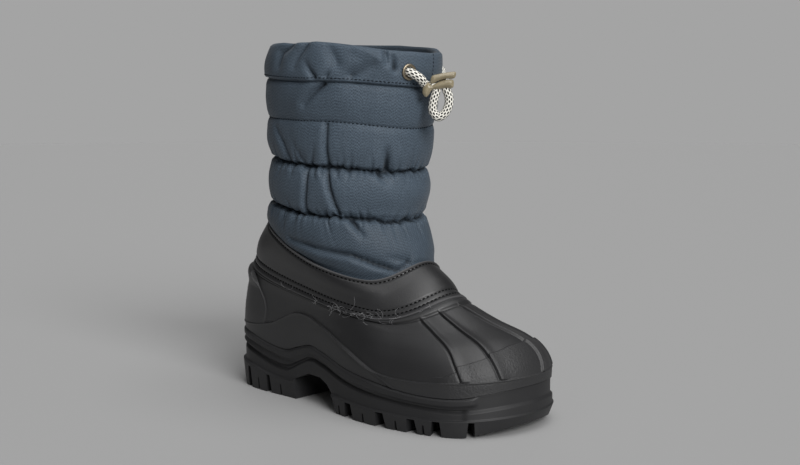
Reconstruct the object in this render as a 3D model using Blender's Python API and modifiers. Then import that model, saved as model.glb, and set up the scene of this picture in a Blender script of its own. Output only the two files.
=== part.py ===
"""Winter boot for a child's right foot: a rubber foot, an ankle band, a quilted shaft and a drawcord.

Sizes are in millimetres while the boot is drawn. x runs from the back of the heel to the toe, y to the
wearer's left (the inner side of this foot) and z up from the floor. The model itself is in metres, about
the middle of the boot's length.
"""

import math
from collections import namedtuple

import bmesh
import bpy
from mathutils import Euler, Matrix, Vector

# Driving sizes
MM = 0.001
LENGTH = 212.0
GAP = 0.3
SHELL_WALL = 2.6
BAND_WALL = 1.6
SHAFT_WALL = 5.0
RIM_WIDTH = 3.2
INSOLE_THICK = 3.5
COLUMNS = 56
SHAFT_COLUMNS = 48
CORD_WIDTH = 5.0

# Sections of the foot and leg, from the sole's edge up to the collar. Each is a ring with its back and
# front end, its lowest spot (as a share of the way from back to front), its half widths, the hollow of
# the inner arch, how far its toe swings to the inner side, and how square its toe and heel are (2 is
# round).
Ring = namedtuple(
    "Ring", "back back_z front front_z dip_at dip_z heel ball_out ball_in arch swing toe_power heel_power"
)
RINGS = (
    Ring(1.0, 14.0, 211.0, 18.0, 0.70, 14.0, 33.8, 47.6, 43.0, 5.0, 6.0, 5.6, 8.0),
    Ring(0.8, 32.0, 211.0, 31.0, 0.72, 27.0, 33.8, 47.1, 42.5, 4.0, 6.0, 5.6, 8.0),
    Ring(1.0, 48.0, 207.0, 41.0, 0.72, 36.0, 33.6, 45.0, 40.5, 2.0, 5.5, 5.2, 7.5),
    Ring(2.0, 60.0, 198.0, 48.5, 0.75, 43.5, 33.4, 41.3, 38.0, 1.0, 4.0, 4.4, 6.4),
    Ring(3.6, 69.0, 180.0, 56.0, 0.80, 50.0, 33.7, 38.0, 36.5, 0.0, 2.0, 3.6, 5.0),
    Ring(6.6, 77.5, 160.0, 67.0, 0.81, 55.6, 35.0, 37.0, 36.5, 0.0, 0.0, 3.0, 3.6),
    Ring(11.0, 91.5, 149.0, 76.0, 0.84, 65.0, 37.0, 38.0, 38.0, 0.0, 0.0, 2.7, 2.9),
    Ring(20.5, 105.0, 137.0, 84.0, 0.87, 75.0, 40.0, 40.0, 40.0, 0.0, 0.0, 2.3, 2.3),
    Ring(28.0, 119.0, 124.5, 108.5, 0.66, 111.5, 41.0, 41.0, 41.0, 0.0, 0.0, 2.1, 2.1),
    Ring(28.0, 132.0, 126.0, 124.0, 0.62, 126.5, 42.0, 42.0, 42.0, 0.0, 0.0, 2.0, 2.0),
    Ring(28.5, 145.5, 126.5, 136.0, 0.62, 139.5, 42.0, 42.0, 42.0, 0.0, 0.0, 2.0, 2.0),
    Ring(26.5, 168.0, 131.0, 161.0, 0.60, 165.5, 45.0, 45.0, 45.0, 0.0, 0.0, 2.0, 2.0),
    Ring(26.5, 191.2, 134.0, 184.0, 0.60, 187.5, 46.8, 46.8, 46.8, 0.0, 0.0, 2.0, 2.0),
    Ring(28.0, 211.0, 136.0, 205.5, 0.60, 208.8, 46.6, 46.6, 46.6, 0.0, 0.0, 2.0, 2.0),
)

# How a ring rises to its front and back end, and the shares of its length where it widens from heel to
# ball, where the inner arch is hollow and from where the toe swings
FRONT_BEND = 2.3
BACK_BEND = 1.25
WIDEN_FROM = 0.28
WIDEN_OVER = 0.42
ARCH_FROM = 0.2
ARCH_OVER = 0.5
SWING_FROM = 0.5

# Rings that carry an edge or a seam
LIP, BAND_TOP, LOW_SEAM, GATHER_SEAM, FLAT_SEAM, CASING_SEAM, COLLAR = 5, 7, 8, 10, 11, 12, 13

# Heights of the lines along the sole's side, by distance from the heel: top of the lugs, deep groove,
# lower rib line, feather edge where the shell stands, top of the rand, and the bed under the insole
Station = namedtuple("Station", "x lug groove rib feather rand bed")
STATIONS = (
    Station(0.0, 17.0, 27.5, 32.0, 37.0, 40.0, 22.0),
    Station(25.0, 15.0, 23.8, 29.0, 34.0, 40.5, 21.0),
    Station(45.0, 11.5, 18.6, 24.5, 29.8, 43.5, 20.0),
    Station(58.0, 11.0, 17.8, 22.3, 28.8, 48.5, 20.0),
    Station(68.0, 11.3, 22.4, 24.4, 31.7, 52.0, 20.5),
    Station(79.0, 11.5, 26.8, 28.2, 34.4, 52.3, 21.0),
    Station(89.0, 11.0, 26.0, 27.4, 33.2, 49.7, 20.0),
    Station(114.0, 10.0, 20.4, 21.8, 27.8, 40.0, 16.5),
    Station(140.0, 9.0, 17.1, 18.5, 24.3, 30.0, 13.0),
    Station(165.0, 8.5, 15.2, 16.6, 21.2, 28.0, 12.0),
    Station(190.0, 9.5, 14.6, 16.0, 21.1, 29.5, 12.0),
    Station(212.0, 11.0, 17.8, 19.2, 25.5, 31.0, 14.0),
)
TOE_SPRING = 5.5
TOE_SPRING_FROM = 186.0

# How far the sole's side stands out at its ribs, grooves and lugs, and at the toe bumper that takes their
# place
SOLE_RIB = 1.3
RIB_VALLEY = 0.1
NARROW_RIB = 1.4
WIDE_RIB = 4.4
GROOVE_IN = -1.4
GROOVE_HALF = 0.5
SKIRT_DROP = 1.8
SKIRT_OUT = 0.8
LUG_EDGE = 0.5
LUG_OUT = 1.6
FLOOR_IN = -0.6
FLOOR_TUCK = 4.0
BUMPER_FROM = 190.0
BUMPER_OVER = 14.0
BUMPER_RECESS = -0.8
BUMPER_OUT = 1.6
HEEL_TUCK_TO = 14.0
INSOLE_CLEAR = 0.8

# Outline of the hollow under the arch, seen from the side, as pairs of x and z
ARCH_HOLLOW = ((64.5, -2.0), (67.0, 12.0), (80.0, 17.4), (90.0, 17.4), (97.0, 15.0), (104.5, 9.0),
               (108.0, -2.0))
ARCH_REACH = 60.0

# Channels between the lugs: where each one crosses the edge, its heading, and its width at the floor
Channel = namedtuple("Channel", "x y heading width height")
CHANNELS = (
    Channel(22.0, 0.0, 90.0, 4.5, 13.0),
    Channel(42.0, 0.0, 90.0, 4.5, 11.0),
    Channel(120.0, 0.0, 90.0, 9.0, 9.0),
    Channel(145.5, 0.0, 90.0, 9.0, 8.5),
    Channel(166.0, 0.0, 90.0, 8.0, 8.0),
    Channel(180.0, -40.0, -63.0, 6.0, 8.5),
    Channel(180.0, 38.0, 63.0, 6.0, 8.5),
    Channel(192.0, -27.0, -42.0, 4.5, 9.0),
    Channel(192.0, 27.0, 42.0, 4.5, 9.0),
)
CHANNEL_LENGTH = 130.0
NOTCH_LENGTH = 26.0
CHANNEL_UNDER = 2.0
CHANNEL_FOOT = 1.15
CHANNEL_TOP = 0.7

# Ribs over the toe and the edges of the heel pad: their bearing at the rand, half way and at the lip, in
# degrees from the toe to the outer side
Rib = namedtuple("Rib", "at_rand halfway at_lip")
RIBS = (Rib(34.5, 36.0, 28.5), Rib(18.0, 20.8, 18.0), Rib(-5.0, -6.0, 5.0), Rib(-22.0, -22.0, -7.0))
PAD_EDGES = (Rib(131.0, 131.0, 145.0), Rib(-131.0, -131.0, -145.0))
RIB_CREST = 1.2
RIB_FOOT = 2.4
RIB_HEIGHT = 1.2
RAND_STEP = 1.2
PAD_STEP = 0.9
PAD_LEDGE = 3.2
PAD_EDGE_HALF = 0.6
CLEAR_OF_MARKS = 0.4

# The shell's wall: how far it stands out at the feather edge, half way up the rand and at the lip's bead,
# and how many rings each step takes up
FEATHER_OUT = 0.4
RAND_BELLY = 0.9
BEAD_OUT = 1.1
BEAD_GROOVE = 0.2
LIP_OUT = 0.5
STEP_RUN = 0.06

# The toe cap's upper edge: its highest ring, the bearing where it is reached, and how far round it runs
CAP_STEP = 0.9
CAP_RING = 2.85
CAP_MIDDLE = -6.0
CAP_REACH = 54.0
CAP_LEAST = 0.3
CAP_FADE = 5.0

# The ankle band's hem inside the shell's lip: how many rings it reaches down and how far it leans in
HEM_DEPTH = 0.4
HEM_LEAN = 0.8

# Courses of the shaft's outside: the ring it lies on and how far it stands off that ring
Course = namedtuple("Course", "ring out")
SHAFT_COURSES = (
    Course(6.50, -2.2), Course(7.04, -2.2), Course(7.12, -0.2), Course(7.35, 2.0), Course(7.65, 2.4),
    Course(7.90, 1.2), Course(LOW_SEAM, -0.6), Course(8.18, 1.6), Course(8.60, 2.6), Course(9.30, 2.6),
    Course(9.80, 1.5), Course(GATHER_SEAM, -0.6), Course(10.12, 1.0), Course(10.45, 2.0),
    Course(10.85, 1.0),
    Course(FLAT_SEAM, 0.0), Course(11.20, 0.8), Course(11.50, 1.3), Course(11.85, 0.6), Course(11.98, -0.2),
    Course(CASING_SEAM + 0.03, 1.0), Course(12.40, 1.5), Course(12.80, 1.2), Course(12.96, 0.8),
    Course(COLLAR, 0.0),
)
SHAFT_LINING = (COLLAR, 12.85, 12.0, 11.0, 10.0, 9.0, 8.0, 7.0, 6.5)
COLLAR_FOLD = 3.4

# Eyelets in the casing: the ring they lie on and their bearing from the toe to the outer side
Eyelet = namedtuple("Eyelet", "name ring bearing")
EYELETS = (Eyelet("eyelet_outer", 12.35, 13.0), Eyelet("eyelet_inner", 12.35, -62.0))
EYELET_STANDS = 1.5
EYELET_HOLE = 2.9
EYELET_BARREL = 3.3
EYELET_FLANGE = 4.65
EYELET_DEPTH = 2.4
EYELET_RISE = 1.0
EYELET_STEPS = 20

# Cord stopper: its middle, how it is turned, and the outlines of its two mouldings seen from the front
STOPPER_AT = (145.0, 2.0, 182.6)
STOPPER_TURN = 42.0
STOPPER_ROLL = -6.0
STOPPER_DEPTH = 7.5
STOPPER_ROUND = 0.8
BODY_OUTLINE = ((-8.4, -0.6), (-6.2, 2.2), (-4.2, 0.6), (0.0, 2.6), (6.0, 3.0), (8.6, 1.6), (8.2, -2.4),
                (2.0, -2.6), (-2.6, -3.4), (-4.6, -6.6), (-8.0, -5.6))
STOPPER_ENTRY = (-8.4 - 2 * GAP, -0.4, -2.8)
BUTTON_OUTLINE = ((-4.0, 1.4), (-2.8, 6.6), (9.0, 7.4), (8.0, 3.6), (4.0, 3.9), (0.0, 3.4))

# The drawcord: how far a strand starts out of its eyelet, the places it passes (x, depth and z on the
# stopper, or the ring, bearing and distance on the shaft), and the loop under the stopper as pairs of the
# stopper's x and z
CORD_START = EYELET_RISE + 3 * GAP
CORD_LEAVES = 3.1
OUTER_APPROACH = (-12.4, -1.2, -1.8)
INNER_ON_SHAFT = ((12.36, -46.0, 6.0), (12.34, -28.0, 7.0))
BEHIND_STOPPER = STOPPER_DEPTH / 2 + 2 * GAP
INNER_APPROACH = ((4.6, BEHIND_STOPPER + 6.0, 1.0), (4.6, BEHIND_STOPPER, 0.2))
CORD_LOOP = ((0.8, -4.2), (-1.8, -10.0), (-3.7, -14.2), (-1.8, -17.8), (2.5, -18.6), (6.0, -15.2),
             (7.0, -9.5), (5.6, -3.2))

Paint = namedtuple("Paint", "colour roughness metallic")
RUBBER = Paint((0.016, 0.017, 0.018), 0.55, 0.0)
COATED = Paint((0.014, 0.014, 0.015), 0.38, 0.0)
NYLON = Paint((0.060, 0.075, 0.100), 0.75, 0.0)
FOAM = Paint((0.050, 0.050, 0.055), 0.90, 0.0)
BRASS = Paint((0.330, 0.250, 0.160), 0.40, 1.0)
OLIVE = Paint((0.350, 0.300, 0.200), 0.45, 0.0)
CORD = Paint((0.720, 0.690, 0.640), 0.80, 0.0)


def ease(value):
    """0 to 1 with soft ends."""
    value = min(max(value, 0.0), 1.0)
    return value * value * (3.0 - 2.0 * value)


def mix(first, second, share):
    return first + (second - first) * share


def through(before, start, end, after, share):
    """A smooth curve from start to end that leans towards their neighbours."""
    lean_in = (end - before) / 2
    lean_out = (after - start) / 2
    square = share * share
    cube = square * share
    return ((2 * cube - 3 * square + 1) * start + (cube - 2 * square + share) * lean_in
            + (3 * square - 2 * cube) * end + (cube - square) * lean_out)


def ring_at(level):
    """The section at a level between two rows of the table of rings."""
    low = min(int(level), len(RINGS) - 2)
    rows = [RINGS[min(max(low + step, 0), len(RINGS) - 1)] for step in (-1, 0, 1, 2)]
    return Ring(*(through(*values, level - low) for values in zip(*rows)))


def ring_point(level, bearing):
    """A point of the foot's skin. The bearing is in degrees, 0 at the toe and 90 on the outer side."""
    ring = ring_at(level)
    along = math.cos(math.radians(bearing))
    outer = math.sin(math.radians(bearing)) >= 0.0
    share = (1.0 + along) / 2
    power = ring.toe_power if along > 0.0 else ring.heel_power
    reach = math.sqrt(max(0.0, 1.0 - abs(along) ** power))
    ball = ring.ball_out if outer else ring.ball_in
    half = mix(ring.heel, ball, ease((share - WIDEN_FROM) / WIDEN_OVER))
    if not outer:
        along_arch = min(max((share - ARCH_FROM) / ARCH_OVER, 0.0), 1.0)
        half -= ring.arch * math.sin(math.pi * along_arch) ** 2
    if share > ring.dip_at:
        rise = (ring.front_z - ring.dip_z) * ((share - ring.dip_at) / (1.0 - ring.dip_at)) ** FRONT_BEND
    else:
        rise = (ring.back_z - ring.dip_z) * (1.0 - share / ring.dip_at) ** BACK_BEND
    swing = ring.swing * ease((share - SWING_FROM) / (1.0 - SWING_FROM))
    across = swing - half * reach if outer else swing + half * reach
    return Vector((mix(ring.back, ring.front, share), across, ring.dip_z + rise))


def skin_normal(level, bearing):
    around = ring_point(level, bearing + 0.6) - ring_point(level, bearing - 0.6)
    upward = ring_point(min(level + 0.02, COLLAR), bearing) - ring_point(max(level - 0.02, 0.0), bearing)
    return upward.cross(around).normalized()


def skin(level, bearing, out=0.0):
    """A point that stands off the skin by the given distance."""
    return ring_point(level, bearing) + skin_normal(level, bearing) * out


def level_of(height, bearing):
    """The level at which the skin reaches a height, along one bearing."""
    low, high = 0.0, float(COLLAR)
    for _ in range(40):
        middle = (low + high) / 2
        if ring_point(middle, bearing).z < height:
            low = middle
        else:
            high = middle
    return low


def outline(bearing, out=0.0):
    """A point of the sole's plan, moved outwards."""
    here = ring_point(0.0, bearing)
    around = ring_point(0.0, bearing + 0.6) - ring_point(0.0, bearing - 0.6)
    return here.xy + Vector((-around.y, around.x)).normalized() * out


def station_at(x):
    """Heights of the sole's lines at a distance from the heel."""
    x = min(max(x, STATIONS[0].x), STATIONS[-1].x)
    high = next(number for number in range(1, len(STATIONS)) if STATIONS[number].x >= x)
    rows = [STATIONS[min(max(high + step, 0), len(STATIONS) - 1)] for step in (-2, -1, 0, 1)]
    share = (x - rows[1].x) / (rows[2].x - rows[1].x)
    return Station(*(through(*values, share) for values in zip(*rows)))


def to_metres(point):
    return Vector((point[0] - LENGTH / 2, point[1], point[2])) * MM


def material(name, paint):
    made = bpy.data.materials.new(name)
    made.use_nodes = True
    shader = made.node_tree.nodes["Principled BSDF"]
    shader.inputs["Base Color"].default_value = (*paint.colour, 1.0)
    shader.inputs["Roughness"].default_value = paint.roughness
    shader.inputs["Metallic"].default_value = paint.metallic
    return made


def collection(name):
    made = bpy.data.collections.new(name)
    bpy.context.scene.collection.children.link(made)
    return made


def new_object(name, shape, group, finish=None):
    """Turns a bmesh into an object of the group."""
    bmesh.ops.recalc_face_normals(shape, faces=shape.faces)
    mesh = bpy.data.meshes.new(name)
    shape.to_mesh(mesh)
    shape.free()
    made = bpy.data.objects.new(name, mesh)
    group.objects.link(made)
    if finish:
        mesh.materials.append(finish)
        mesh.shade_smooth()
        mesh.set_sharp_from_angle(angle=math.radians(40))
    return made


def close_across(shape, loop):
    """Closes a loop that starts at the toe with strips from its outer to its inner side."""
    half = len(loop) // 2
    for step in range(half):
        corners = (loop[step], loop[step + 1], loop[-step - 1], loop[-step])
        shape.faces.new(list(dict.fromkeys(corners)))


def loft(name, columns, group, finish, capped=False):
    """Joins columns of points round the boot: closed columns make a wall, open ones get a cap at each end."""
    shape = bmesh.new()
    grid = [[shape.verts.new(to_metres(point)) for point in column] for column in columns]
    height = len(grid[0])
    for number, column in enumerate(grid):
        beside = grid[(number + 1) % len(grid)]
        for step in range(height - 1 if capped else height):
            above = (step + 1) % height
            shape.faces.new((column[step], beside[step], beside[above], column[above]))
    if capped:
        for end in (0, -1):
            close_across(shape, [column[end] for column in grid])
    return new_object(name, shape, group, finish)


def even_bearings(count=COLUMNS):
    return [360.0 * number / count for number in range(count)]


def cut(piece, tool):
    modifier = piece.modifiers.new("cut_" + tool.name, "BOOLEAN")
    modifier.operation = "DIFFERENCE"
    modifier.solver = "EXACT"
    modifier.object = tool


def hide_cutter(tool):
    tool.hide_render = True
    tool.display_type = "WIRE"
    return tool


def outsole_column(bearing):
    """The sole's section along one bearing: from the bed, over the rim, down the side and to the floor."""
    x = outline(bearing).x
    line = station_at(x)
    toe = ease((x - BUMPER_FROM) / BUMPER_OVER)
    heel = ease(1.0 - x / HEEL_TUCK_TO)
    lower_rib = SOLE_RIB * ease((line.rib - line.groove - NARROW_RIB) / (WIDE_RIB - NARROW_RIB))
    sprung = (x - TOE_SPRING_FROM) / (LENGTH - TOE_SPRING_FROM)
    floor = TOE_SPRING * ease(sprung / 2) * 2
    side = (
        (line.feather, 0.0),
        (mix(line.feather, line.rib, 0.2), mix(SOLE_RIB, BUMPER_RECESS, toe)),
        (mix(line.feather, line.rib, 0.7), mix(SOLE_RIB, BUMPER_RECESS, toe)),
        (line.rib, mix(RIB_VALLEY, BUMPER_RECESS, toe)),
        (mix(line.rib, line.groove, 0.5), mix(lower_rib, BUMPER_RECESS, toe)),
        (line.groove + GROOVE_HALF, mix(GROOVE_IN, BUMPER_RECESS, toe)),
        (line.groove - GROOVE_HALF, mix(GROOVE_IN, BUMPER_RECESS, toe)),
        (line.groove - SKIRT_DROP, mix(SKIRT_OUT, BUMPER_OUT, toe)),
        (line.lug + LUG_EDGE, mix(SKIRT_OUT, BUMPER_OUT, toe)),
        (line.lug - LUG_EDGE, LUG_OUT),
        (floor, FLOOR_IN - FLOOR_TUCK * max(toe, heel)),
    )
    rim = [(*outline(bearing, -RIM_WIDTH), line.bed), (*outline(bearing, -RIM_WIDTH), line.feather)]
    return rim + [(*outline(bearing, out), height) for height, out in side]


def prism(name, corners, start, end, group):
    """A flat outline of x and z, drawn out along y, as a cutter."""
    shape = bmesh.new()
    near = [shape.verts.new(to_metres((x, start, z))) for x, z in corners]
    far = [shape.verts.new(to_metres((x, end, z))) for x, z in corners]
    shape.faces.new(near)
    shape.faces.new(far)
    for number, corner in enumerate(near):
        after = (number + 1) % len(near)
        shape.faces.new((corner, near[after], far[after], far[number]))
    return hide_cutter(new_object(name, shape, group))


def channel_cutter(number, channel, group):
    """A channel that narrows upwards, from the floor to the top of the lugs."""
    shape = bmesh.new()
    bmesh.ops.create_cube(shape, size=1.0)
    for corner in shape.verts:
        corner.co.y *= CHANNEL_TOP if corner.co.z > 0 else CHANNEL_FOOT
    through_sole = channel.y == 0.0
    length = CHANNEL_LENGTH if through_sole else NOTCH_LENGTH
    tall = channel.height + CHANNEL_UNDER
    bmesh.ops.scale(shape, vec=Vector((length, channel.width, tall)) * MM, verts=shape.verts)
    tool = hide_cutter(new_object(f"channel_{number}", shape, group))
    tool.location = to_metres((channel.x, channel.y, tall / 2 - CHANNEL_UNDER))
    tool.rotation_euler = (0.0, 0.0, math.radians(channel.heading))
    return tool


def make_outsole(group, cutters):
    columns = [outsole_column(bearing) for bearing in even_bearings()]
    sole = loft("outsole", columns, group, material("outsole_rubber", RUBBER), capped=True)
    cut(sole, prism("arch_hollow", ARCH_HOLLOW, -ARCH_REACH, ARCH_REACH, cutters))
    for number, channel in enumerate(CHANNELS):
        cut(sole, channel_cutter(number, channel, cutters))


def make_insole(group):
    columns = []
    for bearing in even_bearings():
        edge = outline(bearing, -RIM_WIDTH - INSOLE_CLEAR)
        low = station_at(outline(bearing).x).bed + GAP
        columns.append([(*edge, low), (*edge, low + INSOLE_THICK)])
    loft("insole", columns, group, material("insole_foam", FOAM), capped=True)


def lean_to(line, share):
    """How far a rib has leaned from its bearing at the rand, part of the way up to the lip."""
    first = line.at_rand * (1.0 - share) * (1.0 - 2.0 * share)
    second = line.halfway * 4.0 * share * (1.0 - share)
    third = line.at_lip * share * (2.0 * share - 1.0)
    return first + second + third - line.at_rand


def shell_lean(bearing, share):
    """How far a column leans, so that the ribs and the edges of the heel pad keep to one column each."""
    lines = sorted(RIBS + PAD_EDGES, reverse=True)
    knots = [(180.0, 0.0)] + [(line.at_rand, lean_to(line, share)) for line in lines] + [(-180.0, 0.0)]
    for (high, lean_high), (low, lean_low) in zip(knots, knots[1:]):
        if low <= bearing <= high:
            return mix(lean_low, lean_high, (bearing - low) / (high - low))
    return 0.0


def shell_bearings():
    """Even columns, with a crest and two feet for each rib and both edges of the heel pad put in."""
    marks = []
    for rib in RIBS:
        marks += [rib.at_rand + step for step in (-RIB_FOOT, -RIB_CREST, RIB_CREST, RIB_FOOT)]
    for edge in PAD_EDGES:
        marks += [edge.at_rand - PAD_EDGE_HALF, edge.at_rand + PAD_EDGE_HALF]
    spacing = 360.0 / COLUMNS
    even = [spacing * number - 180.0 for number in range(COLUMNS)]
    clear = spacing * CLEAR_OF_MARKS
    kept = [bearing for bearing in even if min(abs(bearing - mark) for mark in marks) > clear]
    return sorted(marks + kept, reverse=True)


def cap_level(bearing, rand):
    """The toe cap's upper edge along one bearing, and how much of its step is left there."""
    turned = (bearing - CAP_MIDDLE) / CAP_REACH
    if abs(turned) >= 1.0:
        return rand + CAP_LEAST, 0.0
    level = max(mix(CAP_RING, rand, turned * turned), rand + CAP_LEAST)
    return level, ease((1.0 - abs(turned)) * CAP_FADE)


def shell_column(bearing):
    """The shell's section along one bearing: up the outside over its steps, and down the inside."""
    x = outline(bearing).x
    line = station_at(x)
    feather = level_of(line.feather + GAP, bearing)
    rand = level_of(line.rand, bearing)
    cap, cap_left = cap_level(bearing, rand)
    cap_step = CAP_STEP * cap_left
    on_rib = any(abs(bearing - rib.at_rand) < (RIB_CREST + RIB_FOOT) / 2 for rib in RIBS)
    rib = RIB_HEIGHT if on_rib else 0.0
    on_pad = abs(bearing) > PAD_EDGES[0].at_rand
    pad = PAD_STEP if on_pad else 0.0
    ledge = PAD_LEDGE if on_pad else 0.0
    outside = [
        (feather, FEATHER_OUT),
        (mix(feather, rand, 0.5), RAND_BELLY),
        (rand - STEP_RUN, RAND_STEP),
        (rand + STEP_RUN, max(cap_step, pad)),
        (cap - STEP_RUN, max(cap_step, rib, pad)),
        (cap + STEP_RUN, rib + pad),
        (mix(cap, LIP, 0.30), rib + pad),
        (mix(cap, LIP, 0.60), rib + pad),
        (mix(cap, LIP, 0.80), rib + ledge),
        (LIP - 6 * STEP_RUN, rib + ledge),
        (LIP - 4 * STEP_RUN, rib - BEAD_GROOVE),
        (LIP - 2 * STEP_RUN, BEAD_OUT),
        (LIP, LIP_OUT),
    ]
    inside_levels = (LIP, LIP - 0.5, mix(cap, LIP, 0.4), cap, rand, feather)
    inside = [(level, -SHELL_WALL) for level in inside_levels]
    points = []
    for level, out in outside + inside:
        share = min(max((level - rand) / (LIP - rand), 0.0), 1.0)
        points.append(skin(level, bearing + shell_lean(bearing, share), out))
    return points


def make_shell(group):
    columns = [shell_column(bearing) for bearing in shell_bearings()]
    loft("rubber_shell", columns, group, material("shell_rubber", RUBBER))


def make_band(group):
    """The ankle band: its hem is inside the shell's lip."""
    tucked = -SHELL_WALL - GAP
    hem = tucked - HEM_LEAN
    courses = (
        Course(LIP - HEM_DEPTH, hem), Course(LIP + 0.05, tucked), Course(LIP + 0.16, -0.6),
        Course(LIP + 0.6, 0.0), Course(LIP + 1.2, 0.0), Course(BAND_TOP - STEP_RUN, 0.0),
        Course(BAND_TOP, -BAND_WALL / 4), Course(BAND_TOP, -BAND_WALL), Course(LIP + 1.0, -BAND_WALL),
        Course(LIP + 0.2, -BAND_WALL - HEM_LEAN),
        Course(LIP + 0.02, tucked - BAND_WALL), Course(LIP - HEM_DEPTH, hem - BAND_WALL),
    )
    columns = []
    for bearing in shell_bearings():
        leaned = bearing + shell_lean(bearing, 1.0)
        columns.append([skin(course.ring, leaned, course.out) for course in courses])
    loft("ankle_band", columns, group, material("band_coated_cloth", COATED))


def make_shaft(group, cutters):
    columns = []
    for bearing in even_bearings(SHAFT_COLUMNS):
        column = [skin(course.ring, bearing, course.out) for course in SHAFT_COURSES]
        for level in SHAFT_LINING:
            column.append(skin(level, bearing, -COLLAR_FOLD if level == COLLAR else -SHAFT_WALL))
        columns.append(column)
    shaft = loft("quilted_shaft", columns, group, material("shaft_nylon", NYLON))
    for eyelet in EYELETS:
        shape = bmesh.new()
        radius = (EYELET_BARREL + GAP) * MM
        bmesh.ops.create_cone(shape, cap_ends=True, segments=EYELET_STEPS, radius1=radius, radius2=radius,
                              depth=2 * (EYELET_DEPTH + GAP) * MM)
        tool = hide_cutter(new_object("hole_" + eyelet.name, shape, cutters))
        tool.matrix_world = eyelet_place(eyelet)
        cut(shaft, tool)


def eyelet_place(eyelet):
    """Where an eyelet sits on the casing: its own Z points out of the cloth."""
    spot = to_metres(skin(eyelet.ring, eyelet.bearing, EYELET_STANDS))
    turn = skin_normal(eyelet.ring, eyelet.bearing).to_track_quat("Z", "Y")
    return Matrix.LocRotScale(spot, turn, None)


def make_eyelets(group):
    profile = (
        (EYELET_HOLE, EYELET_RISE * 0.6), (EYELET_HOLE + 0.4, EYELET_RISE),
        (EYELET_FLANGE - 0.6, EYELET_RISE),
        (EYELET_FLANGE, GAP + 0.3), (EYELET_FLANGE, GAP), (EYELET_BARREL, GAP),
        (EYELET_BARREL, -EYELET_DEPTH), (EYELET_HOLE, -EYELET_DEPTH),
    )
    for eyelet in EYELETS:
        shape = bmesh.new()
        ring = [shape.verts.new(Vector((radius, 0.0, height)) * MM) for radius, height in profile]
        edges = [shape.edges.new((corner, ring[number - 1])) for number, corner in enumerate(ring)]
        bmesh.ops.spin(shape, geom=ring + edges, cent=(0, 0, 0), axis=(0, 0, 1), angle=math.tau,
                       steps=EYELET_STEPS, use_merge=True)
        bmesh.ops.remove_doubles(shape, verts=shape.verts, dist=0.00001)
        made = new_object(eyelet.name, shape, group, material(eyelet.name + "_brass", BRASS))
        made.matrix_world = eyelet_place(eyelet)


def stopper_piece(name, corners, group, finish):
    """A moulding of the stopper: an outline drawn through its depth with rounded edges."""
    shape = bmesh.new()
    half = STOPPER_DEPTH / 2
    front = [shape.verts.new(Vector((x, -half, z)) * MM) for x, z in corners]
    face = shape.faces.new(front)
    drawn = bmesh.ops.extrude_face_region(shape, geom=[face])
    far = [item for item in drawn["geom"] if isinstance(item, bmesh.types.BMVert)]
    bmesh.ops.translate(shape, verts=far, vec=(0.0, STOPPER_DEPTH * MM, 0.0))
    made = new_object(name, shape, group, finish)
    rounding = made.modifiers.new("rounded", "BEVEL")
    rounding.width = STOPPER_ROUND * MM
    rounding.segments = 2
    rounding.limit_method = "ANGLE"
    made.matrix_world = stopper_place()
    return made


def stopper_place():
    turn = Euler((0.0, math.radians(STOPPER_ROLL), math.radians(STOPPER_TURN)))
    return Matrix.LocRotScale(to_metres(STOPPER_AT), turn.to_quaternion(), None)


def on_stopper(x, depth, z):
    """A point given in the stopper's own sizes, in the model's metres."""
    return stopper_place() @ (Vector((x, depth, z)) * MM)


def smooth_route(points, per_span=4):
    """Points along a smooth curve through the route's own points."""
    route = []
    last = len(points) - 1
    for span in range(last):
        near = [points[min(max(span + step, 0), last)] for step in (-1, 0, 1, 2)]
        for step in range(per_span):
            route.append(Vector([through(*values, step / per_span) for values in zip(*near)]))
    return route + [points[-1]]


def make_cord(name, points, group, finish):
    curve = bpy.data.curves.new(name, "CURVE")
    curve.dimensions = "3D"
    curve.bevel_depth = CORD_WIDTH / 2 * MM
    curve.bevel_resolution = 2
    curve.use_fill_caps = True
    route = smooth_route(points)
    spline = curve.splines.new("POLY")
    spline.points.add(len(route) - 1)
    for knot, place in zip(spline.points, route):
        knot.co = (*place, 1.0)
    curve.materials.append(finish)
    group.objects.link(bpy.data.objects.new(name, curve))


def make_drawcord(group):
    """A strand from each eyelet to the stopper, and the loop that hangs under it."""
    finish = material("cord_braid", CORD)
    starts = []
    for eyelet in EYELETS:
        place = eyelet_place(eyelet)
        starts.append([place @ Vector((0, 0, CORD_START * step * MM)) for step in (1.0, CORD_LEAVES)])
    outer, inner = starts
    outer += [on_stopper(*place) for place in (OUTER_APPROACH, STOPPER_ENTRY)]
    inner += [to_metres(skin(*place)) for place in INNER_ON_SHAFT]
    inner += [on_stopper(*place) for place in INNER_APPROACH]
    make_cord("cord_outer", outer, group, finish)
    make_cord("cord_inner", inner, group, finish)
    make_cord("cord_loop", [on_stopper(x, 0.0, z) for x, z in CORD_LOOP], group, finish)


def build_boot():
    for old in list(bpy.data.objects):
        bpy.data.objects.remove(old)
    boot = collection("winter_boot")
    cutters = collection("winter_boot_cutters")
    make_outsole(boot, cutters)
    make_insole(boot)
    make_shell(boot)
    make_band(boot)
    make_shaft(boot, cutters)
    make_eyelets(boot)
    olive = material("stopper_plastic", OLIVE)
    stopper_piece("stopper_body", BODY_OUTLINE, boot, olive)
    stopper_piece("stopper_button", BUTTON_OUTLINE, boot, olive)
    make_drawcord(boot)


build_boot()
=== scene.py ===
"""Looks of the winter boot: fine forms, cloth, rubber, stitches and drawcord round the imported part.

Sizes are in millimetres while a piece is drawn. x runs from the back of the heel to the toe, y to the
wearer's left (the inner side of this right foot) and z up from the floor. A place on the boot's skin is a
level, which counts the rings of the table below from the sole to the collar, and a bearing in degrees, 0 at
the toe and 90 on the outer side.
"""

import math
from collections import namedtuple

import bmesh
import bpy
import numpy as np
from mathutils import Euler, Matrix, Vector


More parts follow.
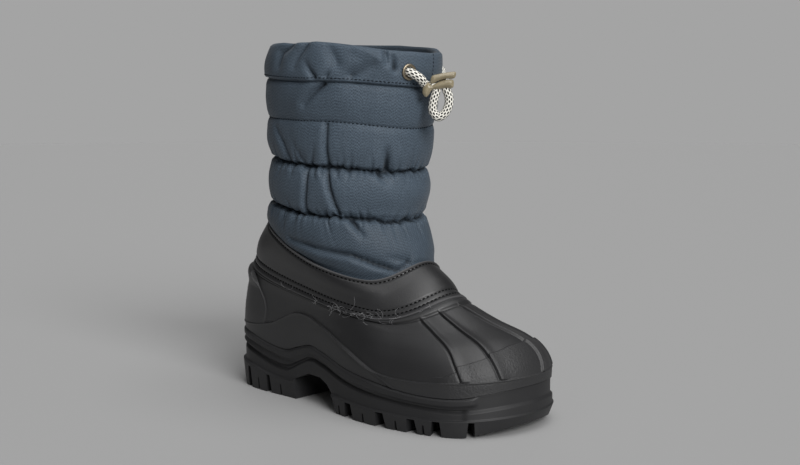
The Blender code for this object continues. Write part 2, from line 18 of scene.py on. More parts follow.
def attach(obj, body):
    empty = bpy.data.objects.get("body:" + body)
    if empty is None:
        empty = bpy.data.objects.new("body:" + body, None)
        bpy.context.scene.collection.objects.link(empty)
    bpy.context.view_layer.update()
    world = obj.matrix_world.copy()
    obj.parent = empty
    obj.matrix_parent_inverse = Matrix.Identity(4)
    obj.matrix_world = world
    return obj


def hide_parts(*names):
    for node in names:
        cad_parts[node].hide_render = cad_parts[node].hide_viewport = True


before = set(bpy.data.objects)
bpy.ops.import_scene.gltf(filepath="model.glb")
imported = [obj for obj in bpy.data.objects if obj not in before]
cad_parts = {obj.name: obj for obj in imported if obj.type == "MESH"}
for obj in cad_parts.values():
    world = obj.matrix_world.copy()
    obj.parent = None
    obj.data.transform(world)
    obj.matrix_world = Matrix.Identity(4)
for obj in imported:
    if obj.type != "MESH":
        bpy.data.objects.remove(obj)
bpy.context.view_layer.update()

# Driving sizes of the part
MM = 0.001
LENGTH = 212.0
GAP = 0.3
SHELL_WALL = 2.6
BAND_WALL = 1.6
SHAFT_WALL = 5.0
RIM_WIDTH = 3.2
INSOLE_THICK = 3.5
CORD_WIDTH = 5.0

# Rings of the foot and leg, as in the part
Ring = namedtuple(
    "Ring", "back back_z front front_z dip_at dip_z heel ball_out ball_in arch swing toe_power heel_power"
)
RINGS = (
    Ring(1.0, 14.0, 211.0, 18.0, 0.70, 14.0, 33.8, 47.6, 43.0, 5.0, 6.0, 5.6, 8.0),
    Ring(0.8, 32.0, 211.0, 31.0, 0.72, 27.0, 33.8, 47.1, 42.5, 4.0, 6.0, 5.6, 8.0),
    Ring(1.0, 48.0, 207.0, 41.0, 0.72, 36.0, 33.6, 45.0, 40.5, 2.0, 5.5, 5.2, 7.5),
    Ring(2.0, 60.0, 198.0, 48.5, 0.75, 43.5, 33.4, 41.3, 38.0, 1.0, 4.0, 4.4, 6.4),
    Ring(3.6, 69.0, 180.0, 56.0, 0.80, 50.0, 33.7, 38.0, 36.5, 0.0, 2.0, 3.6, 5.0),
    Ring(6.6, 77.5, 160.0, 67.0, 0.81, 55.6, 35.0, 37.0, 36.5, 0.0, 0.0, 3.0, 3.6),
    Ring(11.0, 91.5, 149.0, 76.0, 0.84, 65.0, 37.0, 38.0, 38.0, 0.0, 0.0, 2.7, 2.9),
    Ring(20.5, 105.0, 137.0, 84.0, 0.87, 75.0, 40.0, 40.0, 40.0, 0.0, 0.0, 2.3, 2.3),
    Ring(28.0, 119.0, 124.5, 108.5, 0.66, 111.5, 41.0, 41.0, 41.0, 0.0, 0.0, 2.1, 2.1),
    Ring(28.0, 132.0, 126.0, 124.0, 0.62, 126.5, 42.0, 42.0, 42.0, 0.0, 0.0, 2.0, 2.0),
    Ring(28.5, 145.5, 126.5, 136.0, 0.62, 139.5, 42.0, 42.0, 42.0, 0.0, 0.0, 2.0, 2.0),
    Ring(26.5, 168.0, 131.0, 161.0, 0.60, 165.5, 45.0, 45.0, 45.0, 0.0, 0.0, 2.0, 2.0),
    Ring(26.5, 191.2, 134.0, 184.0, 0.60, 187.5, 46.8, 46.8, 46.8, 0.0, 0.0, 2.0, 2.0),
    Ring(28.0, 211.0, 136.0, 205.5, 0.60, 208.8, 46.6, 46.6, 46.6, 0.0, 0.0, 2.0, 2.0),
)
RING_TABLE = np.array(RINGS)
NEAR_LEVEL = 0.02
NEAR_BEARING = 0.6
CLIMB_OVER = 0.1
HALVINGS = 40
FRONT_BEND = 2.3
BACK_BEND = 1.25
WIDEN_FROM = 0.28
WIDEN_OVER = 0.42
ARCH_FROM = 0.2
ARCH_OVER = 0.5
SWING_FROM = 0.5
LIP, BAND_TOP, LOW_SEAM, GATHER_SEAM, FLAT_SEAM, CASING_SEAM, COLLAR = 5, 7, 8, 10, 11, 12, 13

# Heights of the lines along the sole's side, as in the part
Station = namedtuple("Station", "x lug groove rib feather rand bed")
STATIONS = (
    Station(0.0, 17.0, 27.5, 32.0, 37.0, 40.0, 22.0),
    Station(25.0, 15.0, 23.8, 29.0, 34.0, 40.5, 21.0),
    Station(45.0, 11.5, 18.6, 24.5, 29.8, 43.5, 20.0),
    Station(58.0, 11.0, 17.8, 22.3, 28.8, 48.5, 20.0),
    Station(68.0, 11.3, 22.4, 24.4, 31.7, 52.0, 20.5),
    Station(79.0, 11.5, 26.8, 28.2, 34.4, 52.3, 21.0),
    Station(89.0, 11.0, 26.0, 27.4, 33.2, 49.7, 20.0),
    Station(114.0, 10.0, 20.4, 21.8, 27.8, 40.0, 16.5),
    Station(140.0, 9.0, 17.1, 18.5, 24.3, 30.0, 13.0),
    Station(165.0, 8.5, 15.2, 16.6, 21.2, 28.0, 12.0),
    Station(190.0, 9.5, 14.6, 16.0, 21.1, 29.5, 12.0),
    Station(212.0, 11.0, 17.8, 19.2, 25.5, 31.0, 14.0),
)
STATION_TABLE = np.array(STATIONS)
TOE_SPRING = 5.5
TOE_SPRING_FROM = 186.0

# How far the sole's side stands out, as in the part
SOLE_RIB = 1.3
RIB_VALLEY = 0.1
NARROW_RIB = 1.4
WIDE_RIB = 4.4
GROOVE_IN = -1.4
GROOVE_HALF = 0.5
SKIRT_DROP = 1.8
SKIRT_OUT = 0.3
LUG_EDGE = 0.3
LUG_OUT = 2.0
FLOOR_IN = 0.6
BUMPER_FROM = 191.5
BUMPER_OVER = 3.0
BUMPER_SLANT = 0.55
BUMPER_LOW = 14.0
BUMPER_RECESS = -0.1
BUMPER_OUT = 1.2
TOE_TUCK = 1.2
HEEL_TUCK = 3.0
HEEL_TUCK_TO = 14.0
SOLE_ROUND = 0.4
SOLE_ROUND_MOST = 0.4
CORNER_SHARES = (0.0, 0.25, 0.5, 0.75, 1.0)
RIB_SHOULDERS = (0.2, 0.7)

# The hollow under the arch, the channels between the lugs and the slits in the lugs' edges
ARCH_HOLLOW = ((66.5, -2.0), (64.5, 12.0), (78.0, 17.4), (90.0, 17.4), (97.0, 15.0), (104.5, 9.0),
               (108.0, -2.0))
ARCH_REACH = 60.0
Channel = namedtuple("Channel", "x y heading width height")
CHANNELS = (
    Channel(22.0, 0.0, 90.0, 4.2, 13.0),
    Channel(42.0, 0.0, 90.0, 4.2, 11.0),
    Channel(120.0, 0.0, 90.0, 7.4, 9.0),
    Channel(145.5, 0.0, 90.0, 7.4, 8.5),
    Channel(166.0, 0.0, 90.0, 6.8, 8.0),
    Channel(180.0, -40.0, -63.0, 6.0, 8.5),
    Channel(180.0, 38.0, 63.0, 6.0, 8.5),
    Channel(192.0, -27.0, -42.0, 4.5, 9.0),
    Channel(192.0, 27.0, 42.0, 4.5, 9.0),
)
SLITS = (
    Channel(11.0, 0.0, 90.0, 1.5, 9.0),
    Channel(32.0, 0.0, 90.0, 1.5, 7.5),
    Channel(53.0, 0.0, 90.0, 1.5, 7.0),
    Channel(111.0, 0.0, 90.0, 1.6, 5.5),
    Channel(132.5, 0.0, 90.0, 1.6, 5.5),
    Channel(156.0, 0.0, 90.0, 1.6, 5.5),
    Channel(173.0, 0.0, 90.0, 1.6, 5.5),
)
CHANNEL_LENGTH = 130.0
NOTCH_LENGTH = 26.0
CHANNEL_UNDER = 2.0
CHANNEL_FOOT = 1.15
CHANNEL_TOP = 0.7
SOLE_COLUMNS = 480

# Ribs over the toe and the heel pad's edges: their bearing at the rand, half way up and at the lip
Rib = namedtuple("Rib", "at_rand halfway at_lip")
RIBS = (Rib(34.5, 36.0, 28.5), Rib(18.0, 20.8, 18.0), Rib(-5.0, -6.0, 5.0), Rib(-22.0, -22.0, -7.0))
PAD_EDGES = (Rib(131.0, 131.0, 145.0), Rib(-131.0, -131.0, -145.0))
RIB_STEEP = 0.55
RIB_GENTLE = 2.6
RIB_HEIGHT = 1.0
RIB_GROOVE = 0.5
RIB_GROOVE_AT = 1.05
RIB_GROOVE_HALF = 0.5
RIB_COLUMNS = (0.0, 0.2, 0.4, 0.6, 0.8, 1.0, 1.2, 1.4, 1.7, 2.0, 2.5)
RAND_STEP = 0.9
RAND_CREST = 0.4
PAD_STEP = 0.9
PAD_LEDGE = 3.2
PAD_EDGE_HALF = 0.6
FEATHER_OUT = 0.4
BEAD_OUT = 1.0
BEAD_GROOVE = 0.5
LIP_OUT = 0.7
STEP_RUN = 0.022
NEAR_STEP = (-0.055, -0.04, -0.028, -0.016, -0.004, 0.008, 0.022, 0.05)
RAND_CREST_AT = 0.035
PAD_RISE_FROM = 0.55
PAD_RISE_OVER = 0.3
RIB_END = 0.3
RIB_END_RUN = 0.1
BEAD_AT = 0.22
BEAD_RUN = 0.04
BEAD_GROOVE_AT = 0.25
BEAD_GROOVE_HALF = 0.045
LIP_RUN = 0.12
RAND_SHARES = np.linspace(0.0, 1.0, 20)
FLANK_SHARES = np.linspace(0.0, 1.0, 20)
VAMP_SHARES = np.linspace(0.0, 1.0, 46)
LIP_STEPS = np.linspace(-0.4, 0.0, 22)
STEP_CLEAR = 0.07
ROWS_CLEAR = 0.1
VAMP_ROWS_END = 0.42
INSIDE_DROP = 0.5
INSIDE_SHARE = 0.4
SHELL_COLUMNS = 420
COLUMN_APART = 0.25

# The toe cap's upper edge, which steps up at each rib, and the tail of the wave line
CapKnot = namedtuple("CapKnot", "bearing level")
CAP_LINE = (
    CapKnot(-6.0, 2.80), CapKnot(7.5, 2.70), CapKnot(18.0, 2.42), CapKnot(18.2, 2.28), CapKnot(27.0, 2.10),
    CapKnot(34.4, 1.92), CapKnot(34.6, 1.70), CapKnot(42.0, 1.40), CapKnot(48.0, 1.12), CapKnot(56.0, 0.90),
)
CAP_MIDDLE = -6.0
CAP_REACH = 54.0
CAP_LEAST = 0.3
CAP_FADE = 5.0
CAP_STEP = 0.7
WAVE_TAIL = ((100.0, 43.8), (115.6, 38.4), (129.8, 33.0), (142.0, 28.2), (152.4, 23.2), (158.8, 19.8))
WAVE_TAIL_HALF = 0.55
WAVE_TAIL_OUT = 0.7
WAVE_TAIL_RISE = 3.0
WAVE_TAIL_FALL = 8.0

# The ankle band: distances of its stitch rows from the lip and from its top edge
LOW_ROW = 3.1
HIGH_ROW = 6.7
TOP_ROW = 1.7
TOP_RISE = 0.06
HEEL_RISE = 0.14
HEEL_RISE_FROM = 80.0
HEEL_RISE_OVER = 45.0
LIP_CLIMB_AT = 0.3
TOP_CLIMB_AT = 0.15
RAW_EDGE = 0.45
ROW_HALF = 0.75
ROW_DEPTH = 0.5
OVERLAP_OUT = 1.3
OVERLAP_FADES = 6.0
BAND_BULGE = 0.7
FRONT_TOP = 1.6
FRONT_FROM = 24.0
FRONT_OVER = 46.0
DENT_FILL = ((0.0, 0.75), (20.0, 1.0), (40.0, 1.35), (50.0, 1.2), (60.0, 0.8), (75.0, 0.3), (90.0, 0.0))
FILL_PEAK = 6.75
EDGE_ROLL = 0.3
EDGE_ROLL_HALF = 1.2
HEM_DEPTH = 0.4
HEM_LEAN = 0.8
BAND_LOWER = np.linspace(0.012, 1.0, 44)
BAND_MIDDLE = np.linspace(0.0, 1.0, 18)
BAND_UPPER = np.linspace(0.3, 0.01, 20)
BAND_MIDDLE_FROM = 1.03
BAND_MIDDLE_TO = 0.32
BAND_RIM = 0.3
BAND_TUCKED = -SHELL_WALL - GAP
BAND_INSIDE = (
    (LIP + 1.0, -BAND_WALL),
    (LIP + 0.2, -BAND_WALL - HEM_LEAN),
    (LIP + 0.03, BAND_TUCKED - BAND_WALL),
    (LIP - HEM_DEPTH, BAND_TUCKED - HEM_LEAN - BAND_WALL),
    (LIP - HEM_DEPTH, BAND_TUCKED - HEM_LEAN),
    (LIP + 0.006, BAND_TUCKED),
    (LIP + 0.006, 0.6),
)
BAND_COLUMNS = 420

# Courses of the shaft's outside, nearly as in the part: the ring and how far the cloth stands off it
Course = namedtuple("Course", "ring out")
SHAFT_COURSES = (
    Course(6.50, -2.2), Course(7.10, -2.2), Course(7.18, -0.6), Course(7.40, 1.8), Course(7.65, 2.4),
    Course(7.90, 1.2), Course(LOW_SEAM, -0.6), Course(8.18, 1.6), Course(8.60, 2.6), Course(9.30, 2.6),
    Course(9.80, 1.5), Course(GATHER_SEAM, -0.6), Course(10.12, 1.0), Course(10.45, 2.0),
    Course(10.85, 1.0), Course(FLAT_SEAM, 0.0), Course(11.20, 0.8), Course(11.50, 1.3), Course(11.85, 0.6),
    Course(11.97, -0.2), Course(11.995, 1.0), Course(12.40, 1.5), Course(12.80, 1.2),
    Course(12.96, 0.8), Course(COLLAR, 0.0),
)
COLLAR_FOLD = 3.4
SHAFT_INSIDE = (
    Course(12.9, -3.7), Course(12.6, -4.2), Course(12.2, -4.6),
    *(Course(ring, -SHAFT_WALL) for ring in (12.0, 11.0, 10.0, 9.0, 8.0, 7.0, 6.5)),
)
DEEPEST = ((6.5, -4.2), (12.0, -4.2), (12.6, -3.2), (13.0, -2.0))
DEEPEST_EASE = 0.4
SHAFT_COLUMNS = 500
ROW_STEP = 1.25
SEAM_ROW_STEP = 0.42
NEAR_SEAM = 5.0
CLOSE_SHARE = 0.3
MEASURED_AT = 60.0
DEGREE = 0.785

# How far the collar's rim sags and how far the drawcord pulls it in, at bearings round the boot
Sag = namedtuple("Sag", "bearing drop tuck")
RIM_SAGS = (
    Sag(-180.0, 0.2, 3.0), Sag(-140.0, -0.6, 2.4), Sag(-95.0, -0.9, 1.2), Sag(-60.0, 1.0, 0.6),
    Sag(-42.0, 2.6, 0.4), Sag(-14.0, 2.6, 0.2), Sag(8.0, 2.1, 0.4), Sag(30.0, 2.4, 1.2),
    Sag(45.0, 1.6, 0.8), Sag(75.0, -0.3, 0.6), Sag(98.0, 0.6, 2.0), Sag(104.0, 0.2, 1.8),
    Sag(138.0, 1.2, 2.2), Sag(160.0, 0.8, 2.8), Sag(180.0, 0.2, 3.0),
)
SAG_FROM = 0.2
TUCK_FROM = 0.1
RIM_ROLL = 0.6
RIM_RISE = np.array((0.0, 0.0, 0.35))
FOLD_ROLL = 0.5
FOLD_RISE = np.array((0.0, 0.0, 0.2))
INNER_WAVE = 0.3
INNER_WAVES = (30, 51)

# Gathered seams: their depth and half width, and the puckers that run out of them
Gather = namedtuple("Gather", "level depth half puckers pucker_depth pucker_length seed")
GATHERS = (
    Gather(LOW_SEAM, 2.6, 0.9, 70, 3.0, 2.0, 11),
    Gather(LOW_SEAM, 0.0, 1.0, 26, 0.6, 5.0, 21),
    Gather(GATHER_SEAM, 2.6, 0.9, 66, 3.0, 2.0, 12),
    Gather(GATHER_SEAM, 0.0, 1.0, 26, 0.6, 5.0, 22),
    Gather(FLAT_SEAM, 0.6, 0.8, 60, 0.12, 2.5, 13),
    Gather(CASING_SEAM, 2.2, 0.55, 36, 0.15, 3.0, 14),
)
PUCKER_HALF = (0.6, 1.5)
PUCKER_LEAN = 0.35
PUCKER_STRAY = 0.45
PUCKER_DEPTHS = (0.4, 1.4)
PUCKER_LENGTHS = (0.6, 1.7)
SEAM_WANDER = 1.1
SEAM_KNOTS = 84
SEAM_SEED = 100

# Main creases of the outer side: depth at both ends, half width, ridge beside, route of level and bearing
Crease = namedtuple("Crease", "start end half ridge route")
CREASES = (
    Crease(1.9, 2.4, 1.1, 0.4, ((10.92, 66.0), (10.52, 66.0), (10.06, 65.0))),
    Crease(2.5, 2.1, 1.2, 0.5, ((9.96, 66.0), (9.04, 63.0), (8.10, 56.0))),
    Crease(1.9, 1.7, 1.1, 0.35, ((9.96, 81.0), (9.08, 81.0), (8.12, 82.0))),
    Crease(0.8, 1.5, 1.5, 0.5, ((10.80, 111.0), (10.48, 102.0), (10.10, 97.0))),
    Crease(0.2, 1.2, 1.3, 0.4, ((10.52, 91.0), (10.10, 84.0))),
    Crease(3.0, 1.6, 1.4, 0.5, ((11.94, 68.0), (11.74, 73.5), (11.42, 81.5))),
    Crease(1.2, 3.4, 1.9, 0.4, ((10.52, 24.3), (10.36, 23.6), (10.12, 22.8))),
    Crease(3.4, 1.0, 1.5, 0.5, ((9.92, 28.8), (9.74, 26.0), (9.57, 23.2))),
    Crease(1.2, 4.0, 1.4, 0.9, ((7.40, 98.0), (7.44, 70.0), (7.44, 52.0), (7.30, 37.0), (7.10, 22.0))),
    Crease(0.6, 2.8, 1.2, 0.6, ((7.33, 26.0), (7.26, 18.0), (7.20, 11.0), (7.10, 20.0))),
    Crease(2.8, 1.6, 1.3, 0.5, ((12.92, 30.0), (12.72, 29.6), (12.54, 29.0))),
    Crease(1.4, 2.8, 1.3, 0.5, ((12.76, 24.6), (12.58, 23.8), (12.40, 23.4))),
    Crease(1.0, 2.2, 2.6, 0.5, ((12.50, 37.0), (12.34, 43.0), (12.20, 50.0))),
    Crease(-1.2, -1.4, 3.6, 0.0, ((12.90, 46.0), (12.74, 40.0), (12.58, 35.0))),
    Crease(1.2, 1.8, 3.0, 0.4, ((12.82, 66.0), (12.62, 63.0), (12.42, 60.0))),
    Crease(0.6, 2.6, 1.3, 0.5, ((12.42, 80.5), (12.26, 77.0), (12.12, 73.5))),
    Crease(0.4, 2.0, 1.0, 0.4, ((12.30, 63.6), (12.14, 65.6))),
    Crease(2.6, 1.2, 1.8, 0.5, ((12.92, 82.0), (12.54, 87.5), (12.36, 90.0))),
    Crease(3.0, 1.6, 2.8, 0.5, ((12.98, 96.0), (12.66, 104.0), (12.38, 105.0))),
    Crease(3.4, 1.0, 1.5, 0.6, ((7.95, 47.5), (7.70, 41.5))),
    Crease(1.0, 0.2, 1.3, 0.4, ((7.98, 105.0), (7.62, 108.0))),
    Crease(1.0, 0.2, 1.3, 0.4, ((7.98, 91.5), (7.64, 98.0))),
    Crease(1.0, 0.2, 1.4, 0.4, ((9.96, 107.0), (9.24, 113.0))),
)
RIDGE_FROM = 3.5
SHOULDER_REACH = 6.0
CREASE_SLOPE = 0.25
CREASE_REACH = 3.0
INNER_SHIFT = -21.0
# Painted shade over the inside of the casing, below the rim's roll
INNER_SHADE = 0.6
# Painted shade on the bottom roll next to the band, where it faces the top light
LOW_SHADE = 0.3
LOW_SHADE_OVER = 0.3
CLOTH_SWELL = 0.45
CLOTH_SWELLS = (26, 14.0, 41)
RELIEF_FADES = 0.2
# Painted shade in the nylon's valleys: none where the relief is shallower than the first depth, full at the
# second
VALLEY_FROM = 0.9
VALLEY_TO = 3.0
THREADS_ROUND = 316
THREAD_PITCH = 0.9

# The lining's levels above and below the ankle, its pile, and the insole's section
LINING_COLUMNS = 180
LINING_UPPER = np.linspace(12.1, 7.0, 26)
LINING_LOWER = np.linspace(6.6, 2.2, 20)
LINING_OFF_SHAFT = 0.35
LINING_OFF_SHELL = 3.6
PILE_HEIGHT = 0.35
PILE_STANDS = 0.5
PILE_RISE = 9.0
LINING_BACK = 0.1
PILE_SWELLS = (60, 3.0, 61)
INSOLE_COLUMNS = 200
INSOLE_IN = 0.8
INSOLE_SECTION = ((0.4, 0.0), (0.0, 0.6), (0.0, 2.6), (0.5, 3.3), (1.5, INSOLE_THICK), (8.0, 3.4),
                  (18.0, 3.2))

# Eyelets in the casing, as in the part, and the cord stopper, which sits a little higher than there
Eyelet = namedtuple("Eyelet", "name ring bearing")
EYELETS = (Eyelet("eyelet_outer", 12.35, 13.0), Eyelet("eyelet_inner", 12.35, -62.0))
EYELET_STANDS = 1.5
EYELET_HOLE = 2.9
EYELET_BARREL = 3.3
EYELET_FLANGE = 4.65
EYELET_DEPTH = 2.4
EYELET_RISE = 1.0
EYELET_ARC = 12
EYELET_STEPS = 56
STOPPER_AT = (145.0, 2.0, 185.9)
STOPPER_TURN = 42.0
STOPPER_ROLL = -6.0
STOPPER_DEPTH = 7.5
STOPPER_VOXEL = 0.3
STOPPER_SOFTEN = 30
STOPPER_CROWN = 0.25
STOPPER_REACH = 1.9
STOPPER_SPAN = 6
STOPPER_STRAIGHT = 0.45
BODY_OUTLINE = ((-9.1, -3.0), (-8.5, -1.0), (-6.8, 1.1), (-5.5, 1.9), (-4.3, 0.7), (-3.4, -0.3), (0.2, 1.2),
                (4.1, 2.0), (7.8, 1.9), (8.9, 1.0), (8.2, -2.8), (4.0, -2.5), (-0.6, -2.7), (-3.6, -2.6),
                (-5.4, -5.0), (-7.2, -6.6), (-8.8, -5.2))
BUTTON_OUTLINE = ((-4.3, 1.1), (-2.5, 5.2), (10.3, 6.0), (9.5, 2.3), (4.4, 2.5), (0.0, 1.7), (-3.2, 0.4))

# The drawcord's route: outer eyelet, stopper, loop, behind the stopper and on to the inner eyelet
OUTER_LEAVES = ((0.0, 0.0, -2.0), (0.2, -0.1, 0.4), (1.9, -1.2, 2.9), (5.0, -3.3, 4.4))
STOPPER_ENTRY = (-7.4, -0.4, 1.0)
THROUGH_TO_LOOP = ((-5.0, -0.2, -0.5), (-2.6, 0.0, -1.0))
CORD_LOOP = ((-1.2, -3.2), (-2.6, -7.0), (-3.9, -11.0), (-4.3, -14.4), (-2.0, -17.9), (1.8, -16.7),
             (4.6, -12.6), (5.4, -8.0), (4.5, -3.6))
THROUGH_TO_BACK = ((3.6, 1.4, -0.4),)
BEHIND_STOPPER = STOPPER_DEPTH / 2 + 2 * GAP
INNER_APPROACH = ((3.0, BEHIND_STOPPER, 0.6),)
INNER_ON_SHAFT = ((12.12, -22.0, 4.0), (12.16, -42.0, 3.8), (12.26, -53.0, 3.6))
INNER_LEAVES = ((-3.2, -1.0, 4.0), (-0.6, 0.0, 2.6), (0.0, 0.0, 0.6), (0.0, 0.0, -2.0))
CORD_SIDES = 40
CORD_STEP = 0.35
ROUTE_FINE = 40
BRAID_ROUND = 12
BRAID_PITCH = 2.4
BRAID_RELIEF = 0.16
FLECK_WIDE = 0.38
FLECK_LONG = 0.35

# Stitches: the distance from one to the next and their own size
Stitch = namedtuple("Stitch", "pitch length width height")
BAND_STITCH = Stitch(2.55, 1.75, 1.05, 0.5)
FLAT_STITCH = Stitch(2.3, 1.5, 0.55, 0.4)
CASING_STITCH = Stitch(2.3, 1.6, 0.55, 0.4)
FRONT_STITCH = Stitch(2.1, 1.3, 0.5, 0.4)
BAND_STITCH_LIFT = 0.05
FLAT_STITCH_LIFT = 0.12
CASING_STITCH_LIFT = 0.1
Row = namedtuple("Row", "points away stitch")
ROW_BEARINGS = np.linspace(-180.0, 180.0, 721)
CASING_ROW = 12.09
FRONT_ROW_LEVELS = np.linspace(12.06, 12.95, 60)
FRONT_ROW_BEARINGS = np.linspace(-8.5, -11.0, 60)

# Lint on the band's raw lower edge: level, bearing, number of fibres, length and curl of each tuft
Tuft = namedtuple("Tuft", "level bearing fibres length curl")
LINT = (
    Tuft(5.00, 108.0, 2, 10.0, 0.5), Tuft(5.05, 88.0, 3, 6.0, 1.2), Tuft(5.02, 78.0, 5, 7.0, 1.3),
    Tuft(5.02, 72.0, 6, 8.0, 1.4), Tuft(5.30, 66.0, 2, 12.0, 0.4), Tuft(5.02, 64.0, 7, 8.0, 1.5),
    Tuft(5.02, 57.0, 5, 8.0, 1.2), Tuft(5.05, 48.0, 4, 11.0, 0.5), Tuft(5.02, 40.0, 4, 10.0, 0.5),
    Tuft(5.02, 24.0, 3, 5.0, 0.8), Tuft(5.02, -60.0, 6, 7.0, 1.3), Tuft(5.02, -84.0, 5, 8.0, 1.2),
)
LINT_SEED = 71
LINT_THICK = 0.04
LINT_STANDS = 0.2
LINT_STRAY = 2.5
LINT_LENGTHS = (0.5, 1.2)
LINT_BENDS = (0.2, 0.6)
LINT_STEPS = 12
LINT_FLAT = 0.6
LINT_LIFT = 0.25
LINT_LIFT_STEP = 0.3

# Colours, dark and light
Tones = namedtuple("Tones", "dark light")
SHELL_TONES = Tones((0.007, 0.007, 0.008), (0.011, 0.011, 0.012))
SOLE_TONES = Tones((0.010, 0.010, 0.011), (0.016, 0.016, 0.017))
BAND_TONES = Tones((0.008, 0.008, 0.009), (0.012, 0.012, 0.013))
RAW_EDGE_TONE = (0.11, 0.11, 0.115)
NYLON_TONES = Tones((0.026, 0.036, 0.049), (0.104, 0.140, 0.180))
# Painted shade colour of the nylon, for its valleys, the inside of the casing and the bottom roll
PAINTED_SHADE_TONE = (0.010, 0.014, 0.019)
LINING_TONES = Tones((0.030, 0.032, 0.036), (0.085, 0.088, 0.095))
INSOLE_TONES = Tones((0.035, 0.035, 0.038), (0.075, 0.075, 0.08))
BRASS_TONES = Tones((0.15, 0.125, 0.09), (0.42, 0.36, 0.27))
STOPPER_TONES = Tones((0.20, 0.165, 0.10), (0.34, 0.29, 0.19))
YARN_TONES = Tones((0.84, 0.82, 0.74), (0.98, 0.96, 0.88))
FLECK_TONE = (0.008, 0.008, 0.008)
# Black thread of the band, darkened further as painted shade for the stitch holes
BAND_THREAD_AND_HOLE_SHADE = (0.003, 0.003, 0.003)
SHAFT_THREAD = (0.009, 0.011, 0.016)
LINT_TONE = (0.42, 0.42, 0.43)
THREAD_DARKER = 0.6

# Camera and light
CAMERA_AT = (0.4741, -0.5128, 0.180)
CAMERA_DOWN = 6.54
CAMERA_TURN = 42.0
CAMERA_LENS = 54.0
SENSOR = 36.0
SURROUND_FROM = 0.82
SURROUND_TO = 0.94
SURROUND_DIM = 0.05
SURROUND_PALE = 0.371
FLOOR_TONE = 0.40
FLOOR_ROUGH = 0.7
FLOOR_REACH = 4.0
Light = namedtuple("Light", "name towards energy angle")
LIGHTS = (
    Light("key", (0.81, -0.33, 0.49), 2.65, 32.0),
    Light("top", (0.20, 0.0, 0.98), 1.25, 46.0),
    Light("overhead", (0.40, -0.2, 0.90), 0.25, 105.0),
)


def ease(value):
    """0 to 1 with soft ends."""
    value = np.clip(value, 0.0, 1.0)
    return value * value * (3.0 - 2.0 * value)


def mix(first, second, share):
    return first + (second - first) * share


def hump(distance, half):
    """1 on a line and 0 away from it."""
    return np.exp(-np.square(distance / half))


def through(before, start, end, after, share):
    """A smooth curve from start to end that leans towards their neighbours."""
    lean_in = (end - before) / 2
    lean_out = (after - start) / 2
    square = share * share
    cube = square * share
    return ((2 * cube - 3 * square + 1) * start + (cube - 2 * square + share) * lean_in
            + (3 * square - 2 * cube) * end + (cube - square) * lean_out)


def rows_at(table, place):
    """The columns of a table at row numbers that may lie between two rows."""
    last = len(table) - 1
    low = np.clip(np.floor(place).astype(int), 0, last - 1)
    near = [table[np.clip(low + step, 0, last)] for step in (-1, 0, 1, 2)]
    return np.moveaxis(through(*near, (place - low)[..., None]), -1, 0)


def station_at(x):
    """Heights of the sole's lines at distances from the heel."""
    places = np.interp(x, STATION_TABLE[:, 0], np.arange(len(STATIONS)))
    return Station(*rows_at(STATION_TABLE, places))


def spread(*values):
    """Values as arrays of one shape."""
    return np.broadcast_arrays(*(np.asarray(value, float) for value in values))


def turned(bearing):
    """Bearings brought between -180 and 180 degrees."""
    return np.mod(bearing + 180.0, 360.0) - 180.0


def even_bearings(count, start=-180.0):
    return np.arange(count) * 360.0 / count + start


def ring_point(level, bearing):
    """Points of the boot's skin."""
    level, bearing = spread(level, bearing)
    ring = Ring(*rows_at(RING_TABLE, level))
    along = np.cos(np.radians(bearing))
    outer = np.sin(np.radians(bearing)) >= 0.0
    share = (1.0 + along) / 2
    power = np.where(along > 0.0, ring.toe_power, ring.heel_power)
    reach = np.sqrt(np.maximum(0.0, 1.0 - np.abs(along) ** power))
    ball = np.where(outer, ring.ball_out, ring.ball_in)
    half = mix(ring.heel, ball, ease((share - WIDEN_FROM) / WIDEN_OVER))
    along_arch = np.clip((share - ARCH_FROM) / ARCH_OVER, 0.0, 1.0)
    half = half - np.where(outer, 0.0, ring.arch * np.sin(np.pi * along_arch) ** 2)
    ahead = np.clip((share - ring.dip_at) / (1.0 - ring.dip_at), 0.0, 1.0)
    behind = np.clip(1.0 - share / ring.dip_at, 0.0, 1.0)
    height = (ring.dip_z + (ring.front_z - ring.dip_z) * ahead ** FRONT_BEND
              + (ring.back_z - ring.dip_z) * behind ** BACK_BEND)
    swing = ring.swing * ease((share - SWING_FROM) / (1.0 - SWING_FROM))
    across = swing + np.where(outer, -half, half) * reach
    return np.stack((mix(ring.back, ring.front, share), across, height), -1)


def unit(vectors):
    return vectors / np.maximum(np.linalg.norm(vectors, axis=-1, keepdims=True), 1e-9)


def skin_normal(level, bearing):
    level = np.asarray(level, float)
    around = ring_point(level, bearing + NEAR_BEARING) - ring_point(level, bearing - NEAR_BEARING)
    upward = (ring_point(np.minimum(level + NEAR_LEVEL, COLLAR), bearing)
              - ring_point(np.maximum(level - NEAR_LEVEL, 0.0), bearing))
    return unit(np.cross(upward, around))


def skin(level, bearing, out=0.0):
    """Points that stand off the skin by the given distances."""
    level, bearing, out = spread(level, bearing, out)
    return ring_point(level, bearing) + skin_normal(level, bearing) * out[..., None]


def climb(level, bearing):
    """Millimetres along the skin for one level, at a level and bearing."""
    low = np.maximum(level - CLIMB_OVER, 0.0)
    high = np.minimum(level + CLIMB_OVER, COLLAR)
    return np.linalg.norm(ring_point(high, bearing) - ring_point(low, bearing), axis=-1) / (high - low)


def level_of(height, bearing):
    """The levels at which the skin reaches given heights."""
    low = np.zeros(len(bearing))
    high = np.full(len(bearing), float(COLLAR))
    for _ in range(HALVINGS):
        middle = (low + high) / 2
        under = ring_point(middle, bearing)[..., 2] < height
        low = np.where(under, middle, low)
        high = np.where(under, high, middle)
    return low


def outline(bearing, out):
    """Points of the sole's plan, moved outwards."""
    around = ring_point(0.0, bearing + NEAR_BEARING) - ring_point(0.0, bearing - NEAR_BEARING)
    sideways = unit(np.stack((-around[..., 1], around[..., 0]), -1))
    return ring_point(0.0, bearing)[..., :2] + sideways * np.asarray(out)[..., None]


